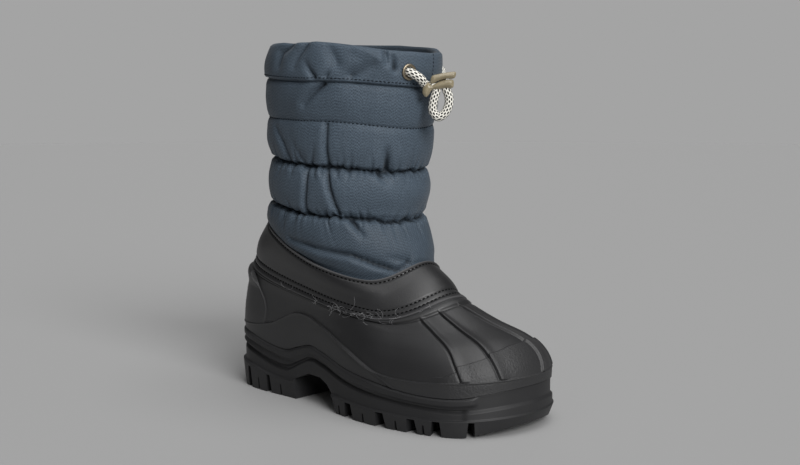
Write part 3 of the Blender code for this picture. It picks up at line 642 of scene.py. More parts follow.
def wander(bearing, knots, seed):
    """A smooth random wave round the boot, from -1 to 1."""
    heights = np.random.default_rng(seed).uniform(-1.0, 1.0, knots)
    place = np.mod(bearing, 360.0) / 360.0 * knots
    low = np.floor(place).astype(int)
    return mix(heights[low % knots], heights[(low + 1) % knots], ease(place - low))


def swell(bearing, height, knots, spacing, seed):
    """Smooth random swells round and up the boot, from -1 to 1."""
    rows = 64
    heights = np.random.default_rng(seed).uniform(-1.0, 1.0, (rows, knots))
    place = np.mod(bearing, 360.0) / 360.0 * knots
    row = height / spacing
    low, under = np.floor(place).astype(int), np.floor(row).astype(int)
    share, rise = ease(place - low), ease(row - under)
    first = mix(heights[under % rows, low % knots], heights[under % rows, (low + 1) % knots], share)
    second = mix(heights[(under + 1) % rows, low % knots],
                 heights[(under + 1) % rows, (low + 1) % knots], share)
    return mix(first, second, rise)


def to_metres(points):
    return (np.asarray(points, float) - (LENGTH / 2, 0.0, 0.0)) * MM


def place_in_metres(point):
    return Vector(to_metres(point))


def hold(name, data):
    """An object in the scene for a mesh, curve, light or camera."""
    holder = bpy.data.objects.new(name, data)
    bpy.context.scene.collection.objects.link(holder)
    return holder


def mesh_of(name, shape):
    """A mesh with the faces of an edit mesh, which is freed."""
    mesh = bpy.data.meshes.new(name)
    shape.to_mesh(mesh)
    shape.free()
    return mesh


def worked_mesh(holder):
    """The mesh of an object with its modifiers done. The object goes."""
    view = bpy.context.evaluated_depsgraph_get()
    mesh = bpy.data.meshes.new_from_object(holder.evaluated_get(view))
    bpy.data.objects.remove(holder)
    return mesh


def add_piece(name, mesh, finish, smooth_to=None):
    """An object with one finish. Edges sharper than smooth_to degrees stay sharp."""
    mesh.materials.clear()
    mesh.materials.append(finish)
    mesh.shade_smooth()
    if smooth_to:
        mesh.set_sharp_from_angle(angle=math.radians(smooth_to))
    return hold(name, mesh)


def closed_loft(name, rows):
    """A closed mesh through rows of points round the boot, both ends filled."""
    columns = len(rows[0])
    shape = bmesh.new()
    grid = [[shape.verts.new(spot) for spot in to_metres(row)] for row in rows]
    for row, after in zip(grid, grid[1:]):
        for number in range(columns):
            beside = (number + 1) % columns
            shape.faces.new((row[number], row[beside], after[beside], after[number]))
    for loop in (grid[0], grid[-1]):
        for step in range(columns // 2):
            corners = (loop[step], loop[step + 1], loop[-step - 1], loop[-step])
            shape.faces.new(list(dict.fromkeys(corners)))
    bmesh.ops.recalc_face_normals(shape, faces=shape.faces)
    return mesh_of(name, shape)


def wall_mesh(name, points, u=None, v=None):
    """A closed wall from rows of points round the boot, the last row joined to the first.

    u gives a map coordinate for each column and one more for the end, v one for each point.
    """
    rows, columns = points.shape[:2]
    number = np.arange(rows * columns).reshape(rows, columns)
    above = np.roll(number, -1, 0)
    faces = np.stack((number, above, np.roll(above, -1, 1), np.roll(number, -1, 1)), -1)
    mesh = bpy.data.meshes.new(name)
    mesh.from_pydata(to_metres(points).reshape(-1, 3).tolist(), [], faces.reshape(-1, 4).tolist())
    if u is not None:
        low, high = np.broadcast_to(u[:-1], (rows, columns)), np.broadcast_to(u[1:], (rows, columns))
        v_above, v_beside = np.roll(v, -1, 0), np.roll(v, -1, 1)
        across = np.stack((low, low, high, high), -1)
        upward = np.stack((v, v_above, np.roll(v_above, -1, 1), v_beside), -1)
        layer = mesh.uv_layers.new(name="threads")
        layer.data.foreach_set("uv", np.stack((across, upward), -1).astype(np.float32).ravel())
    return mesh


def point_values(mesh, name, values):
    layer = mesh.attributes.new(name, "FLOAT", "POINT")
    layer.data.foreach_set("value", np.asarray(values, np.float32).ravel())


class Wire:
    """One output of a shader node. Sums on it add Math nodes."""

    def __init__(self, finish, socket):
        self.finish = finish
        self.socket = socket

    def reckon(self, operation, *others):
        return self.finish.node("ShaderNodeMath", {"operation": operation}, (self, *others))

    def __add__(self, other):
        return self.reckon("ADD", other)

    __radd__ = __add__

    def __sub__(self, other):
        return self.reckon("SUBTRACT", other)

    def __rsub__(self, other):
        return self.finish.node("ShaderNodeMath", {"operation": "SUBTRACT"}, (other, self))

    def __mul__(self, other):
        return self.reckon("MULTIPLY", other)

    __rmul__ = __mul__

    def __truediv__(self, other):
        return self.reckon("DIVIDE", other)


class Finish:
    """A material with one Principled shader."""

    def __init__(self, name, fixed):
        self.material = bpy.data.materials.new(name)
        self.material.use_nodes = True
        self.tree = self.material.node_tree
        self.shader = self.tree.nodes["Principled BSDF"]
        for socket, value in fixed.items():
            self.shader.inputs[socket].default_value = value

    def node(self, kind, settings=(), inputs=(), output=0):
        """Adds a node: its settings first, then the values or links of its sockets, by place or by name."""
        made = self.tree.nodes.new(kind)
        for key, value in dict(settings).items():
            setattr(made, key, value)
        pairs = inputs.items() if isinstance(inputs, dict) else enumerate(inputs)
        for key, value in pairs:
            if isinstance(value, Wire):
                self.tree.links.new(value.socket, made.inputs[key])
            else:
                made.inputs[key].default_value = value
        return Wire(self, made.outputs[output])

    def feed(self, socket, wire):
        self.tree.links.new(wire.socket, self.shader.inputs[socket])

    def place(self):
        return self.node("ShaderNodeTexCoord", output="Object")

    def threads(self):
        """The two coordinates of the piece's own map."""
        both = self.node("ShaderNodeUVMap", {"uv_map": "threads"})
        return [self.node("ShaderNodeSeparateXYZ", inputs=(both,), output=axis) for axis in (0, 1)]

    def noise(self, scale, detail=2.0, where=None):
        return self.node("ShaderNodeTexNoise", inputs={
            "Vector": where or self.place(), "Scale": scale, "Detail": detail})

    def between(self, low, high, value):
        """A soft step from 0 to 1."""
        return self.node("ShaderNodeMapRange", {"interpolation_type": "SMOOTHSTEP"},
                         {"Value": value, "From Min": low, "From Max": high})

    def attribute(self, name):
        return self.node("ShaderNodeAttribute", {"attribute_name": name}, output="Fac")

    def blend(self, share, first, second):
        """A colour between two colours."""
        first, second = (end if isinstance(end, Wire) else rgba(end) for end in (first, second))
        return self.node("ShaderNodeMix", {"data_type": "RGBA"},
                         {"Factor": share, 6: first, 7: second}, output=2)

    def paint(self, share, first, second):
        self.feed("Base Color", self.blend(share, first, second))

    def bump(self, height, distance, strength=1.0):
        self.feed("Normal", self.node("ShaderNodeBump", inputs={
            "Height": height, "Distance": distance, "Strength": strength}))


def rgba(colour):
    return (*colour, 1.0)


def shell_finish():
    """Matte moulded rubber. The toe cap is a little rougher."""
    rubber = Finish("shell_rubber", {"Specular IOR Level": 0.78})
    cap = rubber.attribute("toe_cap")
    cloud = rubber.noise(45.0, 3.0)
    grain = rubber.noise(2600.0, 2.0)
    pebble = rubber.noise(900.0, 2.0)
    rubber.paint(cloud, *SHELL_TONES)
    rubber.feed("Roughness", 0.44 + cloud * 0.08 + grain * 0.06 + cap * 0.08)
    rubber.bump(grain * 0.5 + pebble * (0.3 + cap * 2.2), 0.00010)
    return rubber.material


def sole_finish():
    rubber = Finish("outsole_rubber", {"Specular IOR Level": 0.5})
    cloud = rubber.noise(60.0, 3.0)
    grain = rubber.noise(2200.0, 2.0)
    rubber.paint(cloud, *SOLE_TONES)
    rubber.feed("Roughness", 0.50 + cloud * 0.10 + grain * 0.06)
    rubber.bump(grain, 0.00007)
    return rubber.material


def band_finish():
    """Smooth coated cloth with a satin gloss and a faint grain."""
    coated = Finish("band_coated_cloth", {"Specular IOR Level": 0.72})
    cloud = coated.noise(38.0, 3.0)
    grain = coated.node("ShaderNodeTexVoronoi", {"feature": "SMOOTH_F1"}, {
        "Vector": coated.place(), "Scale": 1500.0, "Smoothness": 0.6}, output="Distance")
    raw = coated.attribute("raw_edge")
    coat = coated.blend(cloud, *BAND_TONES)
    coated.paint(raw * 0.8, coat, RAW_EDGE_TONE)
    coated.feed("Roughness", 0.43 + cloud * 0.08 + raw * 0.3)
    coated.bump(grain, 0.00005)
    return coated.material


def nylon_finish():
    """Slate blue nylon in a close plain weave with a random grain, with painted shade in its valleys,
    inside the casing and on the bottom roll.
    """
    gloss = {"Specular IOR Level": 0.22, "Sheen Weight": 0.05, "Sheen Roughness": 0.4}
    nylon = Finish("shaft_nylon", gloss)
    across, upward = nylon.threads()
    over = (across * math.pi).reckon("SINE") * (upward * math.pi).reckon("SINE") * 0.5 + 0.5
    cloud = nylon.noise(30.0, 3.0)
    slub = nylon.between(0.3, 0.7, nylon.noise(1500.0, 2.0))
    tone = over * 0.52 + cloud * 0.10 + slub * 0.38
    cloth = nylon.blend(tone, *NYLON_TONES)
    valley = nylon.attribute("valley")
    # Painted shade: the weave's colour darkens towards the shade tone by the shaft's valley attribute
    nylon.paint(valley * 0.8, cloth, PAINTED_SHADE_TONE)
    nylon.feed("Roughness", 0.58 - over * 0.10 + cloud * 0.06)
    nylon.bump(over, 0.00010)
    return nylon.material


def fleece_finish(name, tones):
    fleece = Finish(name, {"Roughness": 0.95, "Sheen Weight": 0.4, "Specular IOR Level": 0.2})
    curl = fleece.noise(420.0, 4.0)
    pile = fleece.noise(1500.0, 3.0)
    fleece.paint(curl, *tones)
    fleece.bump(curl + pile * 0.5, 0.0006)
    return fleece.material


def brass_finish():
    brass = Finish("eyelet_brass", {"Metallic": 1.0})
    tarnish = brass.noise(700.0, 3.0)
    brass.paint(tarnish, *BRASS_TONES)
    brass.feed("Roughness", 0.30 + tarnish * 0.22)
    return brass.material


def stopper_finish():
    plastic = Finish("stopper_plastic", {"Specular IOR Level": 0.7})
    cloud = plastic.noise(260.0, 3.0)
    grain = plastic.noise(3000.0, 2.0)
    plastic.paint(cloud, *STOPPER_TONES)
    plastic.feed("Roughness", 0.20 + cloud * 0.12)
    plastic.bump(grain, 0.00004)
    return plastic.material


def cord_finish():
    """Off-white braid with dark flecks in staggered rows."""
    braid = Finish("cord_braid", {"Roughness": 0.85, "Sheen Weight": 0.3, "Specular IOR Level": 0.25})
    across, along = braid.threads()
    column = across.reckon("FLOOR")
    offset = (column / 2.0).reckon("FRACT")
    side = (across.reckon("FRACT") - 0.5) / FLECK_WIDE
    step = ((along + offset).reckon("FRACT") - 0.5) / FLECK_LONG
    fleck = 1.0 - braid.between(0.75, 1.25, side * side + step * step)
    fibre = braid.noise(1800.0, 3.0)
    yarn = braid.blend(fibre, *YARN_TONES)
    braid.paint(fleck, yarn, FLECK_TONE)
    braid.bump(fibre, 0.00015)
    return braid.material


def thread_finish(name, colour):
    thread = Finish(name, {"Specular IOR Level": 0.1, "Roughness": 0.9})
    twist = thread.noise(2500.0, 2.0)
    thread.paint(twist, [part * THREAD_DARKER for part in colour], colour)
    return thread.material


def round_corners(rows, radius):
    """Rounds the corners of a profile by a radius, or less where a side is short. The ends stay."""
    sides = rows[1:] - rows[:-1]
    length = np.linalg.norm(sides, axis=-1, keepdims=True)
    step = sides / np.maximum(length, 1e-6) * np.minimum(radius, SOLE_ROUND_MOST * length)
    rounded = [rows[0]]
    for number in range(1, len(rows) - 1):
        before = rows[number] - step[number - 1]
        after = rows[number] + step[number]
        for share in CORNER_SHARES:
            near = mix(before, rows[number], share)
            rounded.append(mix(near, mix(rows[number], after, share), share))
    rounded.append(rows[-1])
    return np.stack(rounded)


def block(channel):
    """A channel or slit that narrows upwards, as a mesh for cutting."""
    shape = bmesh.new()
    bmesh.ops.create_cube(shape, size=1.0)
    for corner in shape.verts:
        corner.co.y *= CHANNEL_TOP if corner.co.z > 0 else CHANNEL_FOOT
    length = CHANNEL_LENGTH if channel.y == 0.0 else NOTCH_LENGTH
    tall = channel.height + CHANNEL_UNDER
    size = Matrix.Diagonal(Vector((length, channel.width, tall, 1.0 / MM)) * MM)
    turn = Matrix.Rotation(math.radians(channel.heading), 4, "Z")
    spot = Matrix.Translation(place_in_metres((channel.x, channel.y, tall / 2 - CHANNEL_UNDER)))
    shape.transform(spot @ turn @ size)
    return shape


def arch_block():
    shape = bmesh.new()
    sides = []
    for y in (-ARCH_REACH, ARCH_REACH):
        sides.append([shape.verts.new(place_in_metres((x, y, z))) for x, z in ARCH_HOLLOW])
    near, far = sides
    shape.faces.new(near)
    shape.faces.new(far)
    for number, corner in enumerate(near):
        after = (number + 1) % len(near)
        shape.faces.new((corner, near[after], far[after], far[number]))
    bmesh.ops.recalc_face_normals(shape, faces=shape.faces)
    return shape


def carve(mesh, shapes):
    """Cuts shapes out of a mesh, one after another."""
    piece = hold("uncut", mesh)
    tools = [hold("tool", mesh_of("tool", shape)) for shape in shapes]
    for tool in tools:
        cut = piece.modifiers.new("cut", "BOOLEAN")
        cut.operation = "DIFFERENCE"
        cut.solver = "EXACT"
        cut.object = tool
    carved = worked_mesh(piece)
    for tool in tools:
        bpy.data.objects.remove(tool)
    return carved


def make_outsole():
    """The sole: the part's section at every bearing with rounded ribs, then channels and slits."""
    bearing = even_bearings(SOLE_COLUMNS, 0.0)
    x = outline(bearing, np.zeros(SOLE_COLUMNS))[:, 0]
    line = station_at(x)
    toe, toe_low = (ease((x - BUMPER_FROM - BUMPER_SLANT * rise) / BUMPER_OVER)
                    for rise in (line.feather - BUMPER_LOW, line.groove - BUMPER_LOW))
    heel = ease(1.0 - x / HEEL_TUCK_TO)
    upper_rib = mix(SOLE_RIB, BUMPER_RECESS, toe)
    lower_rib = SOLE_RIB * ease((line.rib - line.groove - NARROW_RIB) / (WIDE_RIB - NARROW_RIB))
    sprung = (x - TOE_SPRING_FROM) / (LENGTH - TOE_SPRING_FROM)
    floor = TOE_SPRING * ease(sprung / 2) * 2
    flat = np.zeros(SOLE_COLUMNS)
    profile = (
        (line.bed, flat - RIM_WIDTH),
        (line.feather, flat - RIM_WIDTH),
        (line.feather, flat),
        *((mix(line.feather, line.rib, share), upper_rib) for share in RIB_SHOULDERS),
        (line.rib, mix(RIB_VALLEY, BUMPER_RECESS, toe)),
        (mix(line.rib, line.groove, 0.5), mix(lower_rib, BUMPER_RECESS, toe)),
        (line.groove + GROOVE_HALF, mix(GROOVE_IN, BUMPER_RECESS, toe_low)),
        (line.groove - GROOVE_HALF, mix(GROOVE_IN, BUMPER_RECESS, toe_low)),
        (line.groove - SKIRT_DROP, mix(SKIRT_OUT, BUMPER_OUT, toe_low)),
        (line.lug + LUG_EDGE, mix(SKIRT_OUT, BUMPER_OUT, toe_low)),
        (line.lug - LUG_EDGE, flat + LUG_OUT),
        (floor, FLOOR_IN - TOE_TUCK * toe - HEEL_TUCK * heel),
    )
    rows = np.stack([np.stack((*outline(bearing, out).T, height), -1) for height, out in profile])
    mesh = closed_loft("uncut_sole", round_corners(rows, SOLE_ROUND))
    tools = [arch_block()] + [block(channel) for channel in CHANNELS + SLITS]
    return add_piece("boot_outsole", carve(mesh, tools), sole_finish(), smooth_to=38)


def lean_to(line, share):
    """How far a rib has leaned from its bearing at the rand, part of the way up to the lip."""
    first = line.at_rand * (1.0 - share) * (1.0 - 2.0 * share)
    second = line.halfway * 4.0 * share * (1.0 - share)
    third = line.at_lip * share * (2.0 * share - 1.0)
    return first + second + third - line.at_rand


def shell_lean(bearing, share):
    """How far columns lean, so that each rib and each edge of the heel pad keeps to its own column."""
    lines = sorted(RIBS + PAD_EDGES)
    knots = [-180.0] + [line.at_rand for line in lines] + [180.0]
    leans = [np.zeros_like(share)] + [lean_to(line, share) for line in lines] + [np.zeros_like(share)]
    low = np.clip(np.searchsorted(knots, bearing, "right") - 1, 0, len(knots) - 2)
    low = np.broadcast_to(low, share.shape)
    stacked = np.stack(leans)
    start = np.take_along_axis(stacked, low[None], 0)[0]
    end = np.take_along_axis(stacked, low[None] + 1, 0)[0]
    knots = np.array(knots)
    return mix(start, end, (bearing - knots[low]) / (knots[low + 1] - knots[low]))


def shell_bearings():
    """Even columns with closer ones at the ribs and at the edges of the heel pad."""
    lines = RIBS + PAD_EDGES
    marks = {side * step + line.at_rand for line in lines for step in RIB_COLUMNS for side in (-1, 1)}
    even = even_bearings(SHELL_COLUMNS)
    kept = [bearing for bearing in even if min(abs(bearing - mark) for mark in marks) > COLUMN_APART]
    return np.array(sorted(kept + list(marks)))


def cap_edge(bearing, rand):
    """The toe cap's upper edge at each bearing, and how much of its step is left there."""
    turned = np.abs(bearing - CAP_MIDDLE) + CAP_MIDDLE
    knots = np.array(CAP_LINE)
    level = np.maximum(np.interp(turned, knots[:, 0], knots[:, 1]), rand + CAP_LEAST)
    reach = np.abs(bearing - CAP_MIDDLE) / CAP_REACH
    level = np.where(reach < 1.0, level, rand + CAP_LEAST)
    return level, ease((1.0 - reach) * CAP_FADE)


def fall(distance, run=STEP_RUN):
    """1 below a step's edge and 0 above it."""
    return 1.0 - ease((distance + run) / (2 * run))


def line_distance(across, upward, route):
    """Distance to a route of points, how far along it the nearest spot is, and the side from -1 to 1."""
    best = np.full(np.shape(across), np.inf)
    place = np.zeros(np.shape(across))
    side = np.zeros(np.shape(across))
    lengths = [math.dist(start, end) for start, end in zip(route, route[1:])]
    done = 0.0
    for start, end, length in zip(route, route[1:], lengths):
        step = (np.array(end) - start) / length
        along = np.clip((across - start[0]) * step[0] + (upward - start[1]) * step[1], 0.0, length)
        off = np.hypot(across - start[0] - along * step[0], upward - start[1] - along * step[1])
        sideways = step[0] * (upward - start[1]) - step[1] * (across - start[0])
        nearer = off < best
        side = np.where(nearer, sideways / np.maximum(off, 1e-6), side)
        best = np.where(nearer, off, best)
        place = np.where(nearer, (done + along) / sum(lengths), place)
        done += length
    return best, place, side


def make_shell():
    """The moulded foot: rand, wave line, toe cap, ribs, heel pad and lip as steps of one wall."""
    base = shell_bearings()
    x = outline(base, np.zeros(len(base)))[:, 0]
    line = station_at(x)
    feather = level_of(line.feather + GAP, base)
    rand = level_of(line.rand, base)
    cap, cap_left = cap_edge(base, rand)
    levels = [mix(feather, rand - STEP_CLEAR, share) for share in RAND_SHARES]
    levels += [rand + step for step in NEAR_STEP]
    levels += [mix(rand + ROWS_CLEAR, cap - ROWS_CLEAR, share) for share in FLANK_SHARES]
    levels += [cap + step for step in (-STEP_CLEAR, *NEAR_STEP)]
    levels += [mix(cap + ROWS_CLEAR, LIP - VAMP_ROWS_END, share) for share in VAMP_SHARES]
    levels += [np.full(len(base), LIP + step) for step in LIP_STEPS]
    level = np.stack(levels)
    share = np.clip((level - rand) / (LIP - rand), 0.0, 1.0)
    bearing = base + shell_lean(base, share)

    below = FEATHER_OUT + (RAND_STEP - FEATHER_OUT) * ease((level - feather) / (rand - feather))
    below = below + RAND_CREST * hump(level - rand + RAND_CREST_AT, RAND_CREST_AT)
    on_pad = ease((np.abs(base) - PAD_EDGES[0].at_rand + PAD_EDGE_HALF) / (2 * PAD_EDGE_HALF))
    up_pad = ease((level - mix(cap, LIP, PAD_RISE_FROM)) / (PAD_RISE_OVER * (LIP - cap)))
    pad = on_pad * mix(PAD_STEP, PAD_LEDGE, up_pad)
    toe_cap = cap_left * fall(level - cap)
    above = np.maximum(CAP_STEP * toe_cap, pad)
    out = mix(above, below, fall(level - rand))
    clear_of_rand = 1.0 - fall(level - rand - STEP_RUN)
    crest = np.zeros_like(level)
    for rib in RIBS:
        off = base - rib.at_rand
        outward = 1.0 if rib.at_rand > CAP_MIDDLE else -1.0
        sides = np.where(off * outward > 0.0, hump(off, RIB_STEEP), hump(off, RIB_GENTLE))
        crest = crest + RIB_HEIGHT * sides
        crest = crest - RIB_GROOVE * hump(off - outward * RIB_GROOVE_AT, RIB_GROOVE_HALF)
    out = out + crest * clear_of_rand * fall(level - LIP + RIB_END, RIB_END_RUN)
    strip = mix(BEAD_OUT, LIP_OUT, ease((level - LIP + LIP_RUN) / LIP_RUN))
    out = mix(strip, out, fall(level - LIP + BEAD_AT, BEAD_RUN))
    rib_here = np.clip(crest / RIB_HEIGHT, 0.0, 1.0)
    out = out - BEAD_GROOVE * hump(level - LIP + BEAD_GROOVE_AT, BEAD_GROOVE_HALF) * (1.0 - rib_here)

    points = skin(level, bearing, out)
    off, tail, _ = line_distance(points[..., 0], points[..., 2], WAVE_TAIL)
    ridge = WAVE_TAIL_OUT * hump(off, WAVE_TAIL_HALF)
    ridge = ridge * ease((1.0 - tail) * WAVE_TAIL_FALL) * ease(tail * WAVE_TAIL_RISE)
    points = skin(level, bearing, out + ridge)

    at_lip = np.full(len(base), float(LIP))
    halfway = mix(cap, LIP, INSIDE_SHARE)
    inside_level = np.stack((at_lip, at_lip - INSIDE_DROP, halfway, cap, rand, feather))
    inside_share = np.clip((inside_level - rand) / (LIP - rand), 0.0, 1.0)
    inner = skin(inside_level, base + shell_lean(base, inside_share), -SHELL_WALL)
    mesh = wall_mesh("rubber_shell", np.concatenate((points, inner)))
    point_values(mesh, "toe_cap", np.concatenate((toe_cap, np.zeros_like(inside_level))))
    return add_piece("boot_shell", mesh, shell_finish(), smooth_to=60)


def band_top(bearing):
    """The level of the band's top edge, which is higher at the heel."""
    back = ease((np.abs(turned(bearing)) - HEEL_RISE_FROM) / HEEL_RISE_OVER)
    return BAND_TOP + TOP_RISE + HEEL_RISE * back


def band_climbs(bearing):
    """Millimetres for one level at the band's lower edge and at its top edge."""
    return climb(LIP + LIP_CLIMB_AT, bearing), climb(band_top(bearing) - TOP_CLIMB_AT, bearing)


def band_edges(level, bearing):
    """Distances above the band's lower edge and below its top edge."""
    at_lip, at_top = band_climbs(bearing)
    return (level - LIP) * at_lip, (band_top(bearing) - level) * at_top


def band_out(level, bearing):
    """How far the ankle band stands off the skin."""
    above_lip, below_top = band_edges(level, bearing)
    out = OVERLAP_OUT * (1.0 - ease(above_lip / OVERLAP_FADES))
    front = 1.0 - ease((np.abs(bearing) - FRONT_FROM) / FRONT_OVER)
    rise = np.clip(above_lip / (above_lip + below_top), 0.0, 1.0)
    out = out + BAND_BULGE * np.sin(np.pi * rise) + FRONT_TOP * front * rise
    fill = np.interp(np.abs(bearing), *np.transpose(DENT_FILL))
    part = np.clip(level - BAND_TOP + 1.0, 0.0, 1.0)
    out = out + fill * FILL_PEAK * part * part * (1.0 - part)
    for row in (LOW_ROW, HIGH_ROW):
        out = out - ROW_DEPTH * hump(above_lip - row, ROW_HALF)
    out = out - ROW_DEPTH * hump(below_top - TOP_ROW, ROW_HALF)
    return out + EDGE_ROLL * hump(below_top, EDGE_ROLL_HALF)


def make_band():
    base = even_bearings(BAND_COLUMNS)
    top = band_top(base)
    lower = [np.full(BAND_COLUMNS, LIP + rise) for rise in BAND_LOWER]
    middle = [mix(LIP + BAND_MIDDLE_FROM, top - BAND_MIDDLE_TO, share) for share in BAND_MIDDLE]
    upper = [top - drop for drop in BAND_UPPER]
    level = np.stack(lower + middle + upper)
    face = skin(level, base, band_out(level, base))
    above_lip, below_top = band_edges(level, base)
    raw = np.maximum(hump(above_lip, RAW_EDGE), hump(below_top, RAW_EDGE))
    rim = band_out(top, base)
    edge = ((top, rim - BAND_RIM), (top, rim - BAND_WALL))
    rest = np.stack([skin(place, base, out) for place, out in edge + BAND_INSIDE])
    mesh = wall_mesh("ankle_band", np.concatenate((face, rest)))
    shown = np.zeros((len(rest), BAND_COLUMNS))
    shown[:2] = 1.0
    shown[-1] = 1.0
    point_values(mesh, "raw_edge", np.concatenate((raw, shown)))
    return add_piece("boot_ankle_band", mesh, band_finish(), smooth_to=50)


def smooth_table(value, knots, heights):
    """A smooth curve through pairs of knots and heights."""
    place = np.interp(value, knots, np.arange(len(knots)))
    return rows_at(np.array(heights)[:, None], place)[0]


def seam_wander(gather, bearing):
    """How far a gathered seam strays from its level, in millimetres. The upper seams run straight."""
    return SEAM_WANDER * wander(bearing, SEAM_KNOTS, gather.level + SEAM_SEED) * (gather.level < FLAT_SEAM)


def gather_relief(gather, level, bearing):
    """A gathered seam: a valley that wanders a little, with puckers running out of it on both sides."""
    rng = np.random.default_rng(gather.seed)
    above = (level - gather.level) * climb(gather.level, bearing)
    above = above - seam_wander(gather, bearing)
    relief = -gather.depth * hump(above, gather.half)
    step = 360.0 / gather.puckers
    for side in (-1.0, 1.0):
        height = above * side
        for number in range(gather.puckers):
            at = step * (number + rng.uniform(-PUCKER_STRAY, PUCKER_STRAY))
            half = rng.uniform(*PUCKER_HALF)
            depth = gather.pucker_depth * rng.uniform(*PUCKER_DEPTHS)
            length = gather.pucker_length * rng.uniform(*PUCKER_LENGTHS)
            lean = rng.uniform(-PUCKER_LEAN, PUCKER_LEAN)
            fade = np.where(height > 0.0, np.exp(-height / length), 0.0)
            relief = relief - depth * fade * hump(turned(bearing - at) * DEGREE - lean * height, half)
    return relief


def crease_relief(crease, level, bearing, height, turn):
    """A trough with a ridge on one side and a soft slope on the other, or the same on the inner side."""
    route = []
    for crease_level, at in crease.route:
        at = at if turn > 0 else INNER_SHIFT - at
        route.append((at * DEGREE, float(ring_point(crease_level, at)[2])))
    off, along, side = line_distance(bearing * DEGREE, height, route)
    depth = mix(crease.start, crease.end, along)
    raised = (1.0 + side * turn) / 2
    shoulder = ease(off / (RIDGE_FROM * crease.half)) * hump(off, SHOULDER_REACH * crease.half)
    ridge = crease.ridge * shoulder * raised
    slope = CREASE_SLOPE * hump(off, CREASE_REACH * crease.half) * (1.0 - raised)
    return depth * (ridge - slope - hump(off, crease.half))


def shaft_relief(level, bearing):
    """Height of the cloth's gathers and creases."""
    bearing = turned(bearing)
    height = ring_point(level, bearing)[..., 2]
    relief = CLOTH_SWELL * swell(bearing, height, *CLOTH_SWELLS)
    for gather in GATHERS:
        relief = relief + gather_relief(gather, level, bearing)
    for crease in CREASES:
        for turn in (1, -1):
            relief = relief + crease_relief(crease, level, bearing, height, turn)
    return relief * ease((level - BAND_TOP) / RELIEF_FADES)


def shaft_out(level, bearing):
    """How far the quilted cloth stands off the skin."""
    level, bearing = spread(level, bearing)
    courses = np.array(SHAFT_COURSES)
    out = smooth_table(level, courses[:, 0], courses[:, 1]) + shaft_relief(level, bearing)
    deepest = np.interp(level, *np.transpose(DEEPEST))
    return deepest + DEEPEST_EASE * np.logaddexp(0.0, (out - deepest) / DEEPEST_EASE)


def shaft_levels():
    """Levels of the shaft's rows, closer together near the seams."""
    knots = np.array([course.ring for course in SHAFT_COURSES])
    heights = ring_point(knots, MEASURED_AT)[..., 2]
    seams = ring_point((LOW_SEAM, GATHER_SEAM, FLAT_SEAM, CASING_SEAM), MEASURED_AT)[..., 2]
    spots = [heights[0]]
    while spots[-1] < heights[-1]:
        near = min(abs(spots[-1] - seam) for seam in seams)
        spots.append(spots[-1] + mix(SEAM_ROW_STEP, ROW_STEP, ease(near / NEAR_SEAM - CLOSE_SHARE)))
    spots[-1] = heights[-1]
    return np.interp(spots, heights, knots)


def rim_sag(level, bearing):
    """How far the collar hangs down near its rim."""
    sags = np.array(RIM_SAGS)
    near_rim = ease((level - CASING_SEAM - SAG_FROM) / (1.0 - SAG_FROM))
    return np.interp(bearing, sags[:, 0], sags[:, 1]) * near_rim


def rim_tuck(level, bearing):
    """How far the collar is drawn in near its rim."""
    sags = np.array(RIM_SAGS)
    near_rim = ease((level - CASING_SEAM - TUCK_FROM) / (1.0 - TUCK_FROM))
    return np.interp(bearing, sags[:, 0], sags[:, 2]) * near_rim ** 2


def shaft_point(level, bearing, lift=0.0):
    """Points of the quilted cloth's outside."""
    level, bearing = spread(level, bearing)
    points = skin(level, bearing, shaft_out(level, bearing) + lift - rim_tuck(level, bearing))
    points[..., 2] -= rim_sag(level, bearing)
    return points


def make_shaft():
    base = even_bearings(SHAFT_COLUMNS)
    outside = shaft_levels()
    face = shaft_point(outside[:, None], base[None])
    drop = np.stack((np.zeros_like(base), np.zeros_like(base), -rim_sag(COLLAR, base)), -1)
    rim = face[-1] - skin_normal(COLLAR, base) * RIM_ROLL + RIM_RISE
    fold_out = -COLLAR_FOLD + FOLD_ROLL - rim_tuck(COLLAR, base)
    fold = [rim, skin(COLLAR, base, fold_out) + FOLD_RISE + drop]
    inner = []
    for course in SHAFT_INSIDE:
        tucked = course.out - rim_tuck(course.ring, base)
        row = skin(course.ring, base, tucked + INNER_WAVE * wander(base, *INNER_WAVES))
        row[..., 2] -= rim_sag(course.ring, base)
        inner.append(row)
    points = np.concatenate((face, np.stack(fold), np.stack(inner)))
    run = np.cumsum(np.linalg.norm(np.diff(points, axis=0, prepend=points[:1]), axis=-1), axis=0)
    u = np.linspace(0.0, THREADS_ROUND, SHAFT_COLUMNS + 1)
    mesh = wall_mesh("quilted_shaft", points, u, run / THREAD_PITCH)
    relief = shaft_relief(*spread(outside[:, None], base))
    # Painted shade in the deep valleys of the gathers and creases
    valley = ease((-relief - VALLEY_FROM) / (VALLEY_TO - VALLEY_FROM))
    # Painted shade on the bottom roll next to the band
    valley = np.maximum(valley, LOW_SHADE * ease((LOW_SEAM - outside[:, None]) / LOW_SHADE_OVER))
    # Painted shade over the inside of the casing
    shade = np.full((len(points) - len(face) - 1, SHAFT_COLUMNS), INNER_SHADE)
    point_values(mesh, "valley", np.concatenate((valley, np.zeros((1, SHAFT_COLUMNS)), shade)))
    return add_piece("boot_quilted_shaft", mesh, nylon_finish())


def make_lining():
    """The fleece inside, from the casing's fold down to the insole."""
    base = even_bearings(LINING_COLUMNS)
    courses = [Course(level, -SHAFT_WALL - LINING_OFF_SHAFT) for level in LINING_UPPER]
    courses += [Course(level, -SHELL_WALL - LINING_OFF_SHELL) for level in LINING_LOWER]
    pile = []
    for course in courses:
        tufts = swell(base, np.full(LINING_COLUMNS, course.ring * PILE_RISE), *PILE_SWELLS)
        pile.append(skin(course.ring, base, course.out - PILE_STANDS + PILE_HEIGHT * tufts))
    back = [skin(course.ring, base, course.out + LINING_BACK) for course in reversed(courses)]
    mesh = wall_mesh("lining", np.stack(pile + back)[::-1])
    return add_piece("boot_lining", mesh, fleece_finish("lining_fleece", LINING_TONES))


